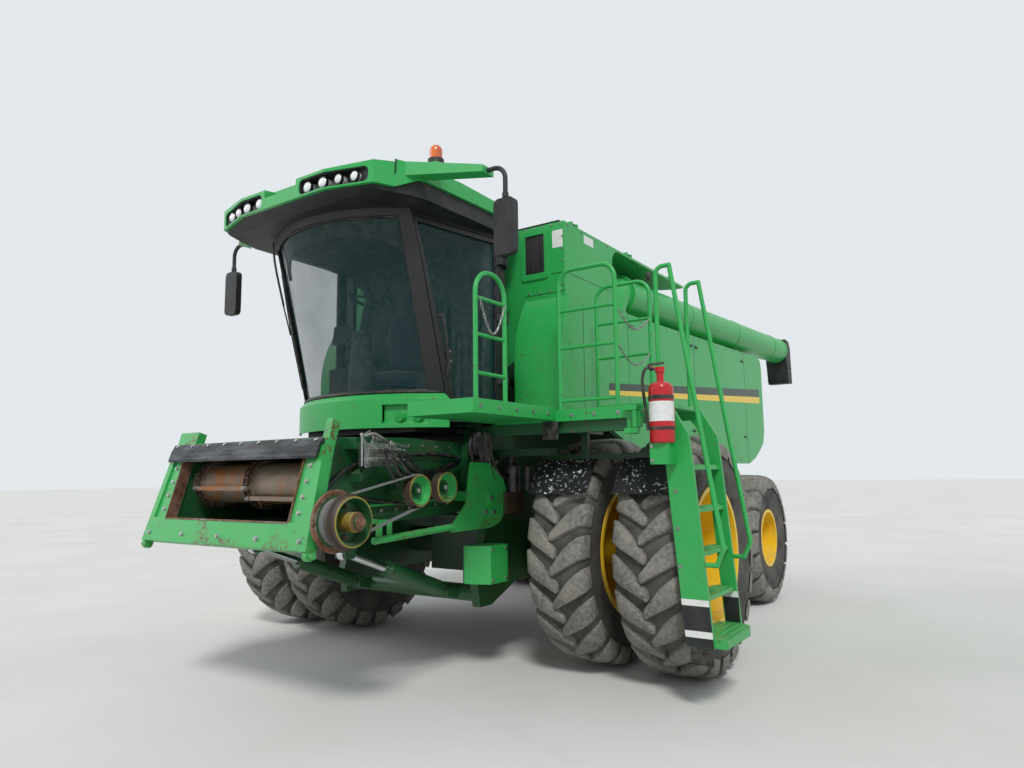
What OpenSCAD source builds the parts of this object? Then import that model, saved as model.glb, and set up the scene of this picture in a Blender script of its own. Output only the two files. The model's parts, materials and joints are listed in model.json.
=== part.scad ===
// Combine harvester on dual front wheels, with its feeder house, cab, grain tank
// and folded unloading tube, and no header. X is the machine's left, Y its rear.

/* [Wheels] */
// Distance from the front axle to the rear axle
wheelbase = 3600; // [3550:10:3650]
// Crop row spacing, which sets the inner and outer front wheels
row = 762; // [756:2:770]
// Diameter of a front tyre over its lugs
front_d = 1940; // [1920:10:1950]
// Width of a front tyre
front_w = 520; // [500:10:530]
// Bead diameter of a front rim
front_rim_d = 1067; // [1040:1:1090]
// Diameter of a rear tyre over its lugs
rear_d = 1592; // [1570:2:1610]
// Width of a rear tyre
rear_w = 700; // [660:10:720]
// Bead diameter of a rear rim
rear_rim_d = 660; // [640:1:680]
// Distance from the centreline to the middle of a rear wheel
rear_x = 1650; // [1640:5:1680]
// Height of a tyre lug
lug_h = 48; // [36:1:54]
// Lugs on each side of a front tyre
front_lugs = 22; // [22:1:26]
// Lugs on each side of a rear tyre
rear_lugs = 16; // [15:1:19]
// Distance from the centreline to a steering kingpin
kingpin_x = 1215; // [1205:5:1225]
// Diameter of a kingpin
kingpin_d = 60; // [50:2:70]

/* [Body] */
// Distance from the centreline to the outside of a side shield
side_x = 1500; // [1490:5:1510]
// Thickness of a side shield
shield_t = 60; // [40:5:70]
// Half width of the threshing body
core_x = 750; // [735:5:760]
// Thickness of a main side plate
frame_t = 80; // [60:5:90]
// Front of the threshing body
core_y = -700; // [-705:5:-690]
// Rear end of the hood
rear_y = 5330; // [5300:10:5400]
// Height of the grain tank's rim
tank_z = 3870; // [3850:10:3890]
// Thickness of the tank's sheet
tank_t = 12; // [8:1:16]
// Front of the grain tank
tank_y = -500; // [-510:5:-480]
// Rear of the grain tank
tank_rear_y = 2200; // [2180:10:2240]
// Height of a shield's top edge at its front
shield_z = 3220; // [3200:5:3230]

/* [Cab] */
// Radius of the curved windshield
screen_r = 1187; // [1170:5:1200]
// Foremost point of the windshield at its foot
screen_y = -1750; // [-1765:5:-1740]
// Lean of the windshield
screen_lean = 14.6; // [13:0.2:16]
// Height of the cab floor
floor_z = 2110; // [2105:1:2115]
// Height of the underside of the roof
ceiling_z = 3720; // [3700:5:3740]
// Thickness of the cab's posts
post_t = 50; // [40:2:60]
// Half width of the cab at its rear
cab_rear_x = 1005; // [1000:1:1010]

/* [Feeder house] */
// Lean of the header mounting face
face_lean = 16; // [14:0.5:18]
// Foot of the header mounting face, as its place along the machine
face_y = -2880; // [-2890:5:-2870]
// Foot of the header mounting face above the ground
face_z = 1175; // [1165:5:1185]
// Half width of the feeder house
feeder_x = 740; // [730:2:740]
// Width of the feeder opening
mouth_w = 1400; // [1360:10:1410]
// Lift pivot, as its place along the machine
lift_y = -950; // [-955:5:-945]
// Lift pivot above the ground
lift_z = 1720; // [1715:5:1725]
// Diameter of a header latch pin
latch_d = 38; // [30:1:44]

/* [Platform and ladder] */
// Top of the walkway
deck_z = 2130; // [2125:1:2135]
// Front edge of the walkway
deck_y = -1000; // [-1005:5:-995]
// Width of the walkway
deck_w = 700; // [680:10:720]
// Diameter of the handrail tube
rail_d = 34; // [28:1:38]
// Number of ladder steps
steps = 5; // [4:1:6]

/* [Unloading tube] */
// Diameter of the unloading tube
tube_d = 400; // [380:5:410]
// Swing axis from the centreline
swing_x = 1220; // [1215:1:1225]
// Swing axis along the machine
swing_y = 720; // [710:5:730]
// Height of the tube at its swing axis
swing_z = 3490; // [3480:5:3500]
// Length of the tube
tube_l = 5950; // [5900:10:6000]

/* [Hidden] */
$fn = 32;

green = [0.13, 0.42, 0.15];
yellow = [0.95, 0.76, 0.10];
black = [0.09, 0.09, 0.10];
rubber = [0.22, 0.22, 0.22];
steel = [0.62, 0.62, 0.62];
rust = [0.45, 0.28, 0.18];
glass = [0.55, 0.70, 0.75, 0.4];

seat_gap = 0.3;
run_gap = 5;
pin_gap = 0.05;
front_z = front_d / 2;
rear_z = rear_d / 2;
inner_x = 2 * row;
outer_x = 3 * row;
shield_in = side_x - shield_t;
frame_x = core_x + frame_t;
deck_out = 2290;
hinge_x = deck_out + 20;
hinge_y = deck_y - 30;
elbow_x = 2900;
swing_rise = 1.6;
swing_out = 1.7;
spout_reach = 260;
left_reach = elbow_x + rail_d / 2;
right_reach = outer_x + front_w / 2;
front_reach = -face_y;
rear_reach = swing_y + tube_l * cos(swing_out) * cos(swing_rise) + spout_reach;
mid_x = (left_reach - right_reach) / 2;
mid_y = (rear_reach - front_reach) / 2;

// Moves the machine so that its origin lies under the middle of its box
module placed() translate([-mid_x, -mid_y, 0]) children();

// Box between two corners
module block(a, b) translate(a) cube(b - a);

// Outline of [y, z] points, extruded from x0 to x1
module across(points, x0, x1) translate([x0, 0, 0]) rotate([90, 0, 90])
    linear_extrude(x1 - x0) polygon(points);

// Outline of [x, z] points, extruded from y0 to y1
module along(points, y0, y1) translate([0, y1, 0]) rotate([90, 0, 0])
    linear_extrude(y1 - y0) polygon(points);

// Outline of [x, y] points, extruded from z0 to z1
module upward(points, z0, z1) translate([0, 0, z0]) linear_extrude(z1 - z0) polygon(points);

// Cylinder along X
module axle(x0, x1, y, z, d) translate([x0, y, z]) rotate([0, 90, 0]) cylinder(h = x1 - x0, d = d);

// Cylinder between two points
module rod(a, b, d) {
    v = b - a;
    translate(a) rotate([0, acos(v[2] / norm(v)), atan2(v[1], v[0])]) cylinder(h = norm(v), d = d);
}

function unit(v) = v / norm(v);
function arc(c, r, a0, a1, n) = [for (i = [0:n]) c + r * [cos(a0 + (a1 - a0) * i / n), sin(a0 + (a1 - a0) * i / n)]];

// Rectangle with rounded corners, between two corners of its box
function rounded(a, b, r) = concat(arc([b[0] - r, b[1] - r], r, 0, 90, 4), arc([a[0] + r, b[1] - r], r, 90, 180, 4),
    arc([a[0] + r, a[1] + r], r, 180, 270, 4), arc([b[0] - r, a[1] + r], r, 270, 360, 4));

// Outline of [radius, x] points, turned about an axis along X
module turned(points, y, z) translate([0, y, z]) rotate([0, 90, 0]) rotate_extrude() polygon(points);

// Tube through the points: a square corner is bent with radius r, any other is a welded ball
module bent(points, d, r) {
    last = len(points) - 1;
    turn = [for (i = [0:last]) i == 0 || i == last ? 0
        : acos(unit(points[i] - points[i - 1]) * unit(points[i + 1] - points[i]))];
    square = [for (t = turn) abs(t - 90) < 0.01];
    cut = [for (q = square) q ? r : 0];
    for (i = [0:last - 1]) {
        way = unit(points[i + 1] - points[i]);
        rod(points[i] + way * cut[i], points[i + 1] - way * cut[i + 1], d);
    }
    for (i = [1:1:last - 1]) if (!square[i]) translate(points[i]) sphere(d = d + 2);
    else {
        a = unit(points[i] - points[i - 1]);
        n = unit(cross(a, points[i + 1] - points[i]));
        side = cross(n, a);
        c = points[i] - a * cut[i] + side * r;
        multmatrix([[-side[0], a[0], n[0], c[0]], [-side[1], a[1], n[1], c[1]],
            [-side[2], a[2], n[2], c[2]], [0, 0, 0, 1]])
            rotate_extrude(angle = 90) translate([r, 0]) circle(d = d);
    }
}

// The same shape on both sides of the centreline
module both_sides() {
    children();
    mirror([1, 0, 0]) children();
}

// Ring of points at radius r, one for each lug
function ring(r, lugs) = [for (i = [0:lugs - 1]) r * [cos(360 * i / lugs), sin(360 * i / lugs)]];

// Outline of a tread: roots at radius r and lugs that stand up by h, each lug two thirds of its pitch wide
function tread(r, h, lugs) = [for (i = [0:lugs - 1], c = [[0, 0], [0.30, 0], [0.36, h], [0.94, h]])
    (r + c[1]) * [cos(360 * (i + c[0]) / lugs), sin(360 * (i + c[0]) / lugs)]];

// Half of a tyre about the Z axis: lugs that sweep from its middle to its shoulder, then the wall
module half_tyre(d, w, rim, lugs, shift) {
    crown = d / 2 - lug_h;
    shoulder = 0.46 * w;
    drop = 0.975;
    wall_r = crown * drop - 8;
    bulge_r = rim / 2 + 0.5 * (crown - rim / 2);
    difference() {
        union() {
            rotate([0, 0, shift])
                linear_extrude(shoulder, twist = 0.29 * w / crown * 180 / PI, scale = drop, slices = 1)
                polygon(tread(crown, lug_h, lugs));
            translate([0, 0, shoulder - 1]) linear_extrude(w / 2 - shoulder + 1, scale = bulge_r / wall_r)
                polygon(ring(wall_r, lugs));
        }
        translate([0, 0, w / 2 + 0.01]) mirror([0, 0, 1])
            linear_extrude(0.09 * w, scale = (rim / 2 - 15) / bulge_r) polygon(ring(bulge_r - 4, lugs));
    }
}

// Tyre about the X axis, its lug tips pointing forward at the top
module tyre(d, w, rim, lugs) difference() {
    for (side = [0, 1]) mirror([side, 0, 0]) rotate([0, 90, 0]) half_tyre(d, w, rim, lugs, side * 180 / lugs);
    translate([-w, 0, 0]) rotate([0, 90, 0]) linear_extrude(2 * w) polygon(ring(rim / 2 / cos(180 / lugs), lugs));
}

rim_t = 12;
disc_t = 24;

// Wheel barrel and its dished disc about the X axis, the disc at x = disc_x
module wheel_rim(rim, w, disc_x, hole) rotate([0, 90, 0]) {
    r = rim / 2 - seat_gap;
    b = w * 0.43;
    rotate_extrude() polygon([[r - rim_t, -b], [r - rim_t, -b - rim_t], [r + 24, -b - rim_t],
        [r + 24, -b - seat_gap], [r, -b - seat_gap], [r, b + seat_gap], [r + 24, b + seat_gap],
        [r + 24, b + rim_t], [r - rim_t, b + rim_t]]);
    rotate_extrude() polygon([[hole, disc_x - disc_t / 2], [r * 0.62, disc_x - disc_t / 2],
        [r - rim_t, disc_x + 40 - disc_t / 2], [r - rim_t, disc_x + 40 + disc_t / 2],
        [r * 0.62, disc_x + disc_t / 2], [hole, disc_x + disc_t / 2]]);
}

shaft_d = 160;
stub_end = 1420;
final_out = 1240;

module front_tyres() for (x = [inner_x, outer_x]) translate([x, 0, front_z])
    tyre(front_d, front_w, front_rim_d, front_lugs);

module front_rims() translate([0, 0, front_z]) {
    disc = -170;
    for (x = [inner_x, outer_x]) translate([x, 0, 0])
        wheel_rim(front_rim_d, front_w, disc, x == inner_x ? shaft_d / 2 + pin_gap : 0);
    rotate([0, 90, 0]) difference() {
        union() {
            translate([0, 0, final_out + 20]) cylinder(h = inner_x + disc + 90 - final_out, d = 300);
            translate([0, 0, inner_x + disc + disc_t / 2]) cylinder(h = 40, d = 440);
            translate([0, 0, inner_x + disc + 40]) cylinder(h = outer_x - inner_x - 40, d = 260);
            translate([0, 0, outer_x + disc - disc_t / 2 - 30]) cylinder(h = 60, d = 440);
        }
        translate([0, 0, final_out]) cylinder(h = stub_end - final_out + 10, d = shaft_d + 2 * pin_gap);
    }
}

module rear_tyre() translate([rear_x, wheelbase, rear_z]) tyre(rear_d, rear_w, rear_rim_d, rear_lugs);

spindle_d = 90;
spindle_end = rear_x + 20;

module rear_rim() translate([0, wheelbase, rear_z]) {
    disc = 0;
    translate([rear_x, 0, 0]) wheel_rim(rear_rim_d, rear_w, disc, spindle_d / 2 + pin_gap);
    rotate([0, 90, 0]) difference() {
        translate([0, 0, rear_x - 110]) cylinder(h = 190, d = 230);
        translate([0, 0, rear_x - 120]) cylinder(h = spindle_end - rear_x + 120 + 5, d = spindle_d + 2 * pin_gap);
    }
}

ear_t = 40;
boss_h = 300;
arm_y = 330;
arm_z = rear_z - 105;

// Fork that holds a kingpin, on the end of the rear axle
module axle_fork() difference() {
    union() {
        block([1020, wheelbase - 80, rear_z - boss_h / 2 - run_gap - ear_t],
            [1080, wheelbase + 80, rear_z + boss_h / 2 + run_gap + ear_t]);
        for (s = [-1, 1]) translate([0, 0, rear_z + s * (boss_h / 2 + run_gap + ear_t / 2)])
            block([1080, wheelbase - 60, -ear_t / 2], [kingpin_x + 60, wheelbase + 60, ear_t / 2]);
    }
    translate([kingpin_x, wheelbase, 0]) cylinder(h = 2 * rear_z, d = kingpin_d + 2 * pin_gap);
}

module rear_axle() color(green) placed() {
    both_sides() axle_fork();
    block([-1020, wheelbase - 90, rear_z - 110], [1020, wheelbase + 90, rear_z + 90]);
    both_sides() across([[wheelbase - 60, rear_z + 90], [wheelbase + 60, rear_z + 90],
        [wheelbase + 220, 1000], [wheelbase - 220, 1000]], 300, 360);
}

// Knuckle with its kingpin, spindle and steering arm
module steering_knuckle() {
    translate([kingpin_x, wheelbase, rear_z]) {
        translate([0, 0, -boss_h / 2]) cylinder(h = boss_h, d = 110);
        translate([0, 0, -boss_h / 2 - run_gap - ear_t - 10])
            cylinder(h = boss_h + 2 * (run_gap + ear_t + 10), d = kingpin_d);
    }
    axle(kingpin_x, spindle_end, wheelbase, rear_z, spindle_d);
    block([kingpin_x - 30, wheelbase + 20, arm_z - 15], [kingpin_x + 30, wheelbase + arm_y + 35, arm_z + 15]);
    translate([kingpin_x, wheelbase + arm_y, arm_z]) cylinder(h = 70, d = 40);
}

module tie_rod() color(green) placed() {
    z = arm_z + 45;
    rod([-kingpin_x + 40, wheelbase + arm_y, z], [kingpin_x - 40, wheelbase + arm_y, z], 50);
    for (s = [-1, 1]) translate([s * kingpin_x, wheelbase + arm_y, z]) difference() {
        translate([0, 0, -20]) cylinder(h = 40, d = 90);
        translate([0, 0, -30]) cylinder(h = 60, d = 40 + 2 * pin_gap);
    }
}

// Side plate of the main frame
plate = [[-1120, 1560], [-1120, 1880], [-1000, 2040], [700, 2040], [700, 1300], [420, 700],
    [-420, 700], [-800, 540], [-960, 540], [-1000, 760], [-860, 1250]];
cross_y = -890;
cross_z = 640;
cyl_x = 520;
barrel_y = -1030;
barrel_z = 660;
trunnion_d = 120;

module main_frame() color(green) placed() {
    both_sides() difference() {
        across(plate, core_x, frame_x);
        axle(core_x - 1, frame_x + 1, 0, front_z, 260 + 2 * seat_gap);
        axle(core_x - 1, frame_x + 1, lift_y, lift_z, trunnion_d + 2 * pin_gap);
    }
    axle(-core_x, core_x, cross_y, cross_z, 140);
    both_sides() for (s = [-1, 1]) difference() {
        across([[cross_y, cross_z - 60], [cross_y, cross_z + 60], [barrel_y + 10, barrel_z + 45],
            [barrel_y - 45, barrel_z + 20], [barrel_y - 45, barrel_z - 30]],
            cyl_x + s * 50 - 10, cyl_x + s * 50 + 10);
        axle(cyl_x - 70, cyl_x + 70, barrel_y, barrel_z, 50 + 2 * pin_gap);
    }
    // Guard box on the front of the left side plate
    upward([[frame_x - 10, cross_y + 16], [frame_x - 10, -1176], [900, -1176], [1050, -1110], [1050, cross_y + 16]],
        cross_z + 120, 1060);
    // Beams under the cab and the walkway
    for (y = [-1000, -790]) block([-frame_x, y, 2040], [frame_x, y + 90, floor_z - 50]);
    block([frame_x, deck_y + 40, 1950], [deck_out - 10, deck_y + 120, deck_z - 90]);
    block([side_x + 100, deck_y + 120, 1960], [side_x + 180, deck_y + deck_w - 20, deck_z - 90]);
}

module front_axle() color(green) placed() {
    z = front_z;
    block([-330, -230, z - 260], [330, 260, z + 270]);
    both_sides() {
        axle(330, final_out - 360, 0, z, 260);
        axle(final_out - 360, final_out, 0, z, 480);
        axle(final_out, stub_end, 0, z, shaft_d);
    }
}

core_z = 1300;
core_top = 2450;
core_end = 4300;

module threshing_body() color(green) placed()
    across([[core_y, core_z], [core_y, core_top - 450], [core_y + 200, core_top], [core_end, core_top],
        [core_end, 1600], [1700, 1500], [400, 1350]], -core_x, core_x);

module cleaning_shoe() color(green) placed()
    across([[1700, 1500], [core_end, 1600], [core_end, 1250], [3900, 1000], [2600, 1000],
        [2300, 1120], [2000, 1000], [1700, 1150]], -core_x + 10, core_x - 10);

module straw_chopper() color(green) placed() {
    across(concat([[core_end, 1500], [core_end, 2200], [core_end + 600, 2150]],
        arc([core_end + 450, 1750], 330, 20, -140, 12)), -core_x, core_x);
    both_sides() translate([380, core_end + 680, 1320]) {
        cylinder(h = 30, d = 660);
        cylinder(h = 200, d = 120);
    }
}

module engine() color(black) placed() block([-450, 2500, core_top], [450, 3500, 3120]);

deck_edge = [[tank_rear_y, 3130], [tank_rear_y, 3290], [4700, 3330], [4700, 3170]];
function deck_at(y) = 3290 + (y - tank_rear_y) * 40 / (4700 - tank_rear_y);
module engine_deck() color(green) placed() {
    across(deck_edge, -shield_in, shield_in);
    // Rest for the folded unloading tube
    block([swing_x + 60, 4400, 3290 + 20], [swing_x + 200, 4460, 3370]);
}

module rotary_screen() color(black) placed() {
    axle(-side_x - 70, -side_x, 3000, 2700, 900);
}

module exhaust() color(steel) placed()
    bent([[-700, 3300, deck_at(3300 + 75) + seat_gap], [-700, 3300, 3800], [-700, 3480, 3900]], 150, 120);

hood = [[4700, 3330], [5180, 3345], [5290, 3300], [rear_y, 3200], [rear_y, 2250], [5250, 2050], [5060, 1940]];
module rear_hood() color(green) placed() difference() {
    across(concat(hood, [[4700, 1940]]), -shield_in, shield_in);
    across([[4699, 3290], [5170, 3305], [5262, 3270], [rear_y - 40, 3190], [rear_y - 40, 2262],
        [5220, 2080], [5110, 1930], [4699, 1930]], -shield_in + 40, shield_in - 40);
}

panel_y = -690;
panel_foot = 2600;
tank_foot = 3190;
sweep_r = (pow(tank_y - panel_y, 2) + pow(tank_foot - panel_foot, 2)) / (2 * (tank_y - panel_y));
sweep = asin((tank_foot - panel_foot) / sweep_r);
// Front edge of shield and panel, from the walkway up to the tank, set back by t
function front_sweep(t) = arc([panel_y + sweep_r, panel_foot], sweep_r - t, 180, 180 - sweep, 8);
// Side shield outline, open over the wheels
arch_front = front_d / 2 + 110;
shield = concat([[920, shield_z], [1340, shield_z + 10], [4700, 3330], [5180, 3345], [5290, 3300],
    [rear_y, 3200], [rear_y, 2250], [5250, 2050], [5060, 1940], [4800, 1820], [4500, 1740],
    [2700, 1740], [2450, 1650], [2300, 1300], [1250, 1250]],
    arc([0, front_z], arch_front, 20, 95, 8), [[-400, 2150], [panel_y, 2150]], front_sweep(0));

module side_shield(s) mirror([s, 0, 0]) across(shield, shield_in, side_x);

module front_panels() color(green) placed() both_sides()
    across(concat([[panel_y + 40, 2150], [panel_y, 2150]], front_sweep(0),
        [for (i = [8:-1:0]) [min(front_sweep(40)[i][0], tank_y), front_sweep(40)[i][1]]]), cab_rear_x + 15, shield_in);

lid_gap = 8;
notch_x = 990;
notch_y = 440;
notch_z = 3150;
notch_top = tank_z - 25;
notch_r = 140;
window_a = [991, 3374];
window_b = [1275, 3838];

function tank_outline(t) = [[-shield_in + t, tank_z + (t > 0 ? 10 : 0)], [-shield_in + t, 3050 + t / 2],
    [-600 + t / 2, core_top + t], [600 - t / 2, core_top + t], [shield_in - t, 3050 + t / 2],
    [shield_in - t, tank_z + (t > 0 ? 10 : 0)]];

module grain_tank() color(green) placed() {
    difference() {
        along(tank_outline(0), tank_y, tank_rear_y);
        difference() {
            along(tank_outline(tank_t), tank_y + tank_t, tank_rear_y - tank_t);
            block([notch_x - tank_t, notch_y - tank_t, notch_z - tank_t], [side_x, tank_rear_y, tank_z + 20]);
        }
        block([notch_x, notch_y, notch_z], [shield_in - tank_t, tank_rear_y + 1, notch_top]);
        across(concat(arc([notch_y + notch_r, notch_top - notch_r], notch_r, 180, 90, 8),
            [[tank_rear_y + 1, notch_top], [tank_rear_y + 1, notch_z], [notch_y, notch_z]]),
            shield_in - tank_t - 1, side_x);
        along(rounded(window_a + [40, 55], window_b - [40, 50], 15), tank_y - 1, tank_y + tank_t + 1);
    }
    // Raised border of the window, and the tip of the cover over the tube
    window_border();
    upward([[notch_x, tank_rear_y - 10], [shield_in, tank_rear_y - 10], [shield_in, tank_rear_y + 155],
        [shield_in - 120, tank_rear_y + 155]], notch_top, tank_z);
    translate([swing_x, swing_y, notch_z - 5]) cylinder(h = swing_z - 225 - notch_z - seat_gap, d = tube_d + 30);
    both_sides() lid_pins();
}

module window_border() difference() {
    along(rounded(window_a, window_b, 30), tank_y - 14, tank_y);
    along(rounded(window_a + [40, 55], window_b - [40, 50], 15), tank_y - 15, tank_y + 1);
}

module tank_window() color(black) placed()
    along(rounded(window_a + [40.3, 55.3], window_b - [40.3, 50.3], 14.7), tank_y - 4, tank_y + 4);

lid_x = shield_in - 30;
lid_z = tank_z + 22;
lid_hinges = [-300, 850, 2000];
module tank_lid(s) mirror([s, 0, 0]) {
    block([lid_gap / 2, tank_y + 2, tank_z + 6], [lid_x - 22, tank_rear_y - 2, tank_z + 18]);
    // Pressed ribs
    for (y = [tank_y + 250:500:tank_rear_y - 150]) block([60, y, tank_z + 17], [lid_x - 120, y + 70, tank_z + 26]);
    for (y = lid_hinges) difference() {
        union() {
            translate([lid_x, y + 30, lid_z]) rotate([90, 0, 0]) cylinder(h = 2 * 30, d = 30);
            block([lid_x - 60, y - 30, tank_z + 12], [lid_x - 8, y + 30, lid_z + 8]);
        }
        translate([lid_x, y + 40, lid_z]) rotate([90, 0, 0]) cylinder(h = 80, d = 16 + 2 * pin_gap);
    }
}

// Hinge pins of a tank lid on the tank's rim
module lid_pins() for (y = lid_hinges) {
    translate([lid_x, y + 60, lid_z]) rotate([90, 0, 0]) cylinder(h = 120, d = 16);
    for (e = [y - 60, y + 35]) block([lid_x - 12, e, tank_z - 20], [shield_in, e + 25, lid_z + 10]);
}

// Height at which the windshield's foremost point is given
screen_base = 2300;
// Solid of the cab, drawn in by t
module cab_volume(t, z0, z1) intersection() {
    translate([0, screen_y + screen_r, screen_base]) rotate([screen_lean, 0, 0])
        translate([0, 0, -600]) cylinder(h = 2800, r = screen_r - t);
    upward([[-800 + t, -2400], [800 - t, -2400], [800 - t, -1900], [cab_rear_x - t, -800 - t],
        [-cab_rear_x + t, -800 - t], [-800 + t, -1900]], z0, z1);
}

sill_z = 2160;
door_rear = -860;
screen_foot = 2310;

// Opening for the left door, or drawn in by t for the door itself
module door_space(t) across([[-1430 + t, sill_z + t], [door_rear - t, sill_z + t], [door_rear - t, ceiling_z - 40 - t],
    [-1800 + t, ceiling_z - 40 - t], [-1430 + t, 2300]], 745, 1300);

door_hinge = [1026, -812];
door_hinges = [2400, 2950, 3450];
hinge_h = 60;

module cab_frame() color(black) placed() {
    for (z = door_hinges) {
        translate([door_hinge[0], door_hinge[1], z - 30]) cylinder(h = hinge_h + 60, d = 16);
        for (e = [z - 30, z + hinge_h + run_gap]) block([cab_rear_x - 15, -821, e], [1040, -800, e + 25]);
    }
    difference() {
        cab_volume(0, floor_z - 50, ceiling_z);
        cab_volume(post_t, floor_z, ceiling_z + 10);
        block([-740, -2600, screen_foot], [740, -1400, ceiling_z - 60]);
        door_space(0);
        mirror([1, 0, 0]) door_space(0);
        block([-850, -1000, 2600], [850, -700, ceiling_z - 100]);
    }
}

// Apron below the windshield, turned about an upright axis that lies apron_r behind it
apron_r = 1165;
apron_top = screen_foot - 25;
apron_y = screen_y + screen_r + (screen_base - apron_top) * tan(screen_lean) - screen_r / cos(screen_lean)
    - 2 * seat_gap + apron_r + 1;
apron_foot = 2010;
apron_end = -1436;
recess = [450, 780];

module apron_ring(points, x0, x1) intersection() {
    translate([0, apron_y, 0]) rotate_extrude($fn = 128) polygon(points);
    block([x0, apron_y - 2 * apron_r, apron_foot - 10], [x1, apron_end, apron_top + 10]);
}

module cab_apron() color(green) placed() {
    difference() {
        apron_ring([[apron_r + 1, apron_top], [apron_r + 8, apron_top], [apron_r + 47, apron_top - 42],
            [apron_r + 47, apron_foot], [apron_r + 35, apron_foot], [apron_r + 35, apron_top - 48],
            [apron_r + 1, apron_top - 14]], -900, 900);
        block([recess[0], -2000, apron_foot + 30], [recess[1], -1400, apron_foot + 185]);
    }
    // Recess with its two round plugs
    apron_ring([[apron_r + 46, apron_foot + 18], [apron_r + 46, apron_foot + 30], [apron_r + 4, apron_foot + 54],
        [apron_r + 4, apron_foot + 178], [apron_r + 46, apron_foot + 185], [apron_r + 46, apron_foot + 197],
        [apron_r - 8, apron_foot + 190], [apron_r - 8, apron_foot + 42]], recess[0] - 10, recess[1] + 10);
    for (x = [575, 695]) {
        y = apron_y - sqrt(pow(apron_r, 2) - x * x);
        rod([x, y + 4, 2100], [x, y - 48, 2091], 76);
    }
}

pocket_y = -2300;
pocket_a = [225, 3766];
pocket_b = [860, 3884];
wing_x = 1480;

module pocket(t, y0, y1) along(rounded(pocket_a + [t, t], pocket_b - [t, t], 40 - t), y0, y1);

module cab_roof() color(green) placed() {
    difference() {
        intersection() {
            upward(roof_plan, ceiling_z, 4000);
            across([[-2500, 3752], [-2440, 3906], [-2100, 3950], [-1500, 3975], [-700, 3950], [-700, 3850],
                [-1950, 3850], [-2150, 3752]], -1100, 1100);
        }
        both_sides() pocket(0, -2600, pocket_y);
        across([[-2600, 3805], [-2340, 3860], [-2340, 4000], [-2600, 4000]], -190, 190);
    }
    // Wings that carry the mirrors
    both_sides() intersection() {
        upward([[965, -2155], [1000, -2080], [wing_x, -1760], [wing_x, -1620], [1060, -1900], [965, -1900]], 3800, 4000);
        along([[950, 3851], [950, 3966], [wing_x + 10, 3930], [wing_x + 10, 3876]], -2200, -1600);
    }
    // Foot of the beacon
    translate([1150, beacon_y, 3930]) cylinder(h = beacon_z - 3930, d = 124);
}

beacon_y = -1905;
beacon_z = 3960;
roof_plan = [[-900, -2310], [-500, -2430], [500, -2430], [900, -2310], [1000, -2080], [1060, -1900], [1080, -700],
    [-1080, -700], [-1060, -1900], [-1000, -2080]];

// Black underside of the roof, and the trays behind the lamps
module roof_liner() color(black) placed() {
    intersection() {
        upward([for (point = roof_plan) [point[0] * 0.975, -1500 + (point[1] + 1500) * 0.97]], ceiling_z, 3900);
        across([[-2400, 3751.6], [-2150, 3751.6], [-1950, 3849.6], [-700, 3849.6], [-700, ceiling_z],
            [-2250, ceiling_z]], -1100, 1100);
    }
    both_sides() difference() {
        intersection() {
            pocket(seat_gap, -2600, pocket_y - seat_gap);
            upward([for (point = roof_plan) [point[0] * 0.99, point[1] * 0.997]], ceiling_z, 3900);
        }
        pocket(8, -2600, pocket_y - seat_gap - 8);
    }
}

// Lamps: distance from the centreline, length, diameter
lamps = [[290, 90, 90], [455, 85, 90], [600, 62, 76], [735, 30, 78]];
module roof_lamps() color(steel) placed() both_sides() for (lamp = lamps)
    translate([lamp[0], pocket_y - 8 - 2 * seat_gap, (pocket_a[1] + pocket_b[1]) / 2])
        rotate([90, 0, 0]) cylinder(h = lamp[1], d = lamp[2]);

module beacon() color("orange") placed() translate([1150, beacon_y, beacon_z + seat_gap]) rotate_extrude()
    polygon(concat([[0, 0], [60, 0], [60, 38], [50, 42]], arc([0, 105], 50, 0, 90, 6)));

// Glass sheet of the cab between two heights, within the outline of its children
module pane() intersection() {
    difference() {
        cab_volume(post_t / 2, sill_z, ceiling_z);
        cab_volume(post_t / 2 + 6, sill_z - 1, ceiling_z + 1);
    }
    children();
}

module cab_glass() color(glass) placed() {
    pane() block([-740 + seat_gap, -2600, screen_foot + seat_gap], [740 - seat_gap, -1400, ceiling_z - 60 - seat_gap]);
    pane() mirror([1, 0, 0]) door_space(seat_gap);
    pane() block([-850 + seat_gap, -1000, 2600 + seat_gap], [850 - seat_gap, -700, ceiling_z - 100 - seat_gap]);
}

module cab_door() color(black) placed() {
    door_ring();
    for (z = door_hinges) difference() {
        union() {
            translate([door_hinge[0], door_hinge[1], z]) cylinder(h = hinge_h, d = 34);
            upward([[984, -905], [1036, -880], [1036, -818], [1010, -818], [1010, -872], [984, -872]], z, z + hinge_h);
        }
        translate([door_hinge[0], door_hinge[1], z - 1]) cylinder(h = hinge_h + 2, d = 16 + 2 * pin_gap);
    }
}

module door_ring() intersection() {
    difference() {
        cab_volume(0, sill_z, ceiling_z);
        cab_volume(post_t, sill_z - 1, ceiling_z);
    }
    difference() {
        door_space(6);
        door_space(46);
    }
}

module door_glass() color(glass) placed() pane() door_space(46 + seat_gap);

module driver_seat() color(black) placed() {
    block([-250, -1350, floor_z], [250, -950, floor_z + 320]);
    block([-260, -1400, floor_z + 320], [260, -900, floor_z + 450]);
    across([[-990, floor_z + 450], [-900, floor_z + 450], [-860, floor_z + 1050], [-960, floor_z + 1050]], -240, 240);
}

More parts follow.
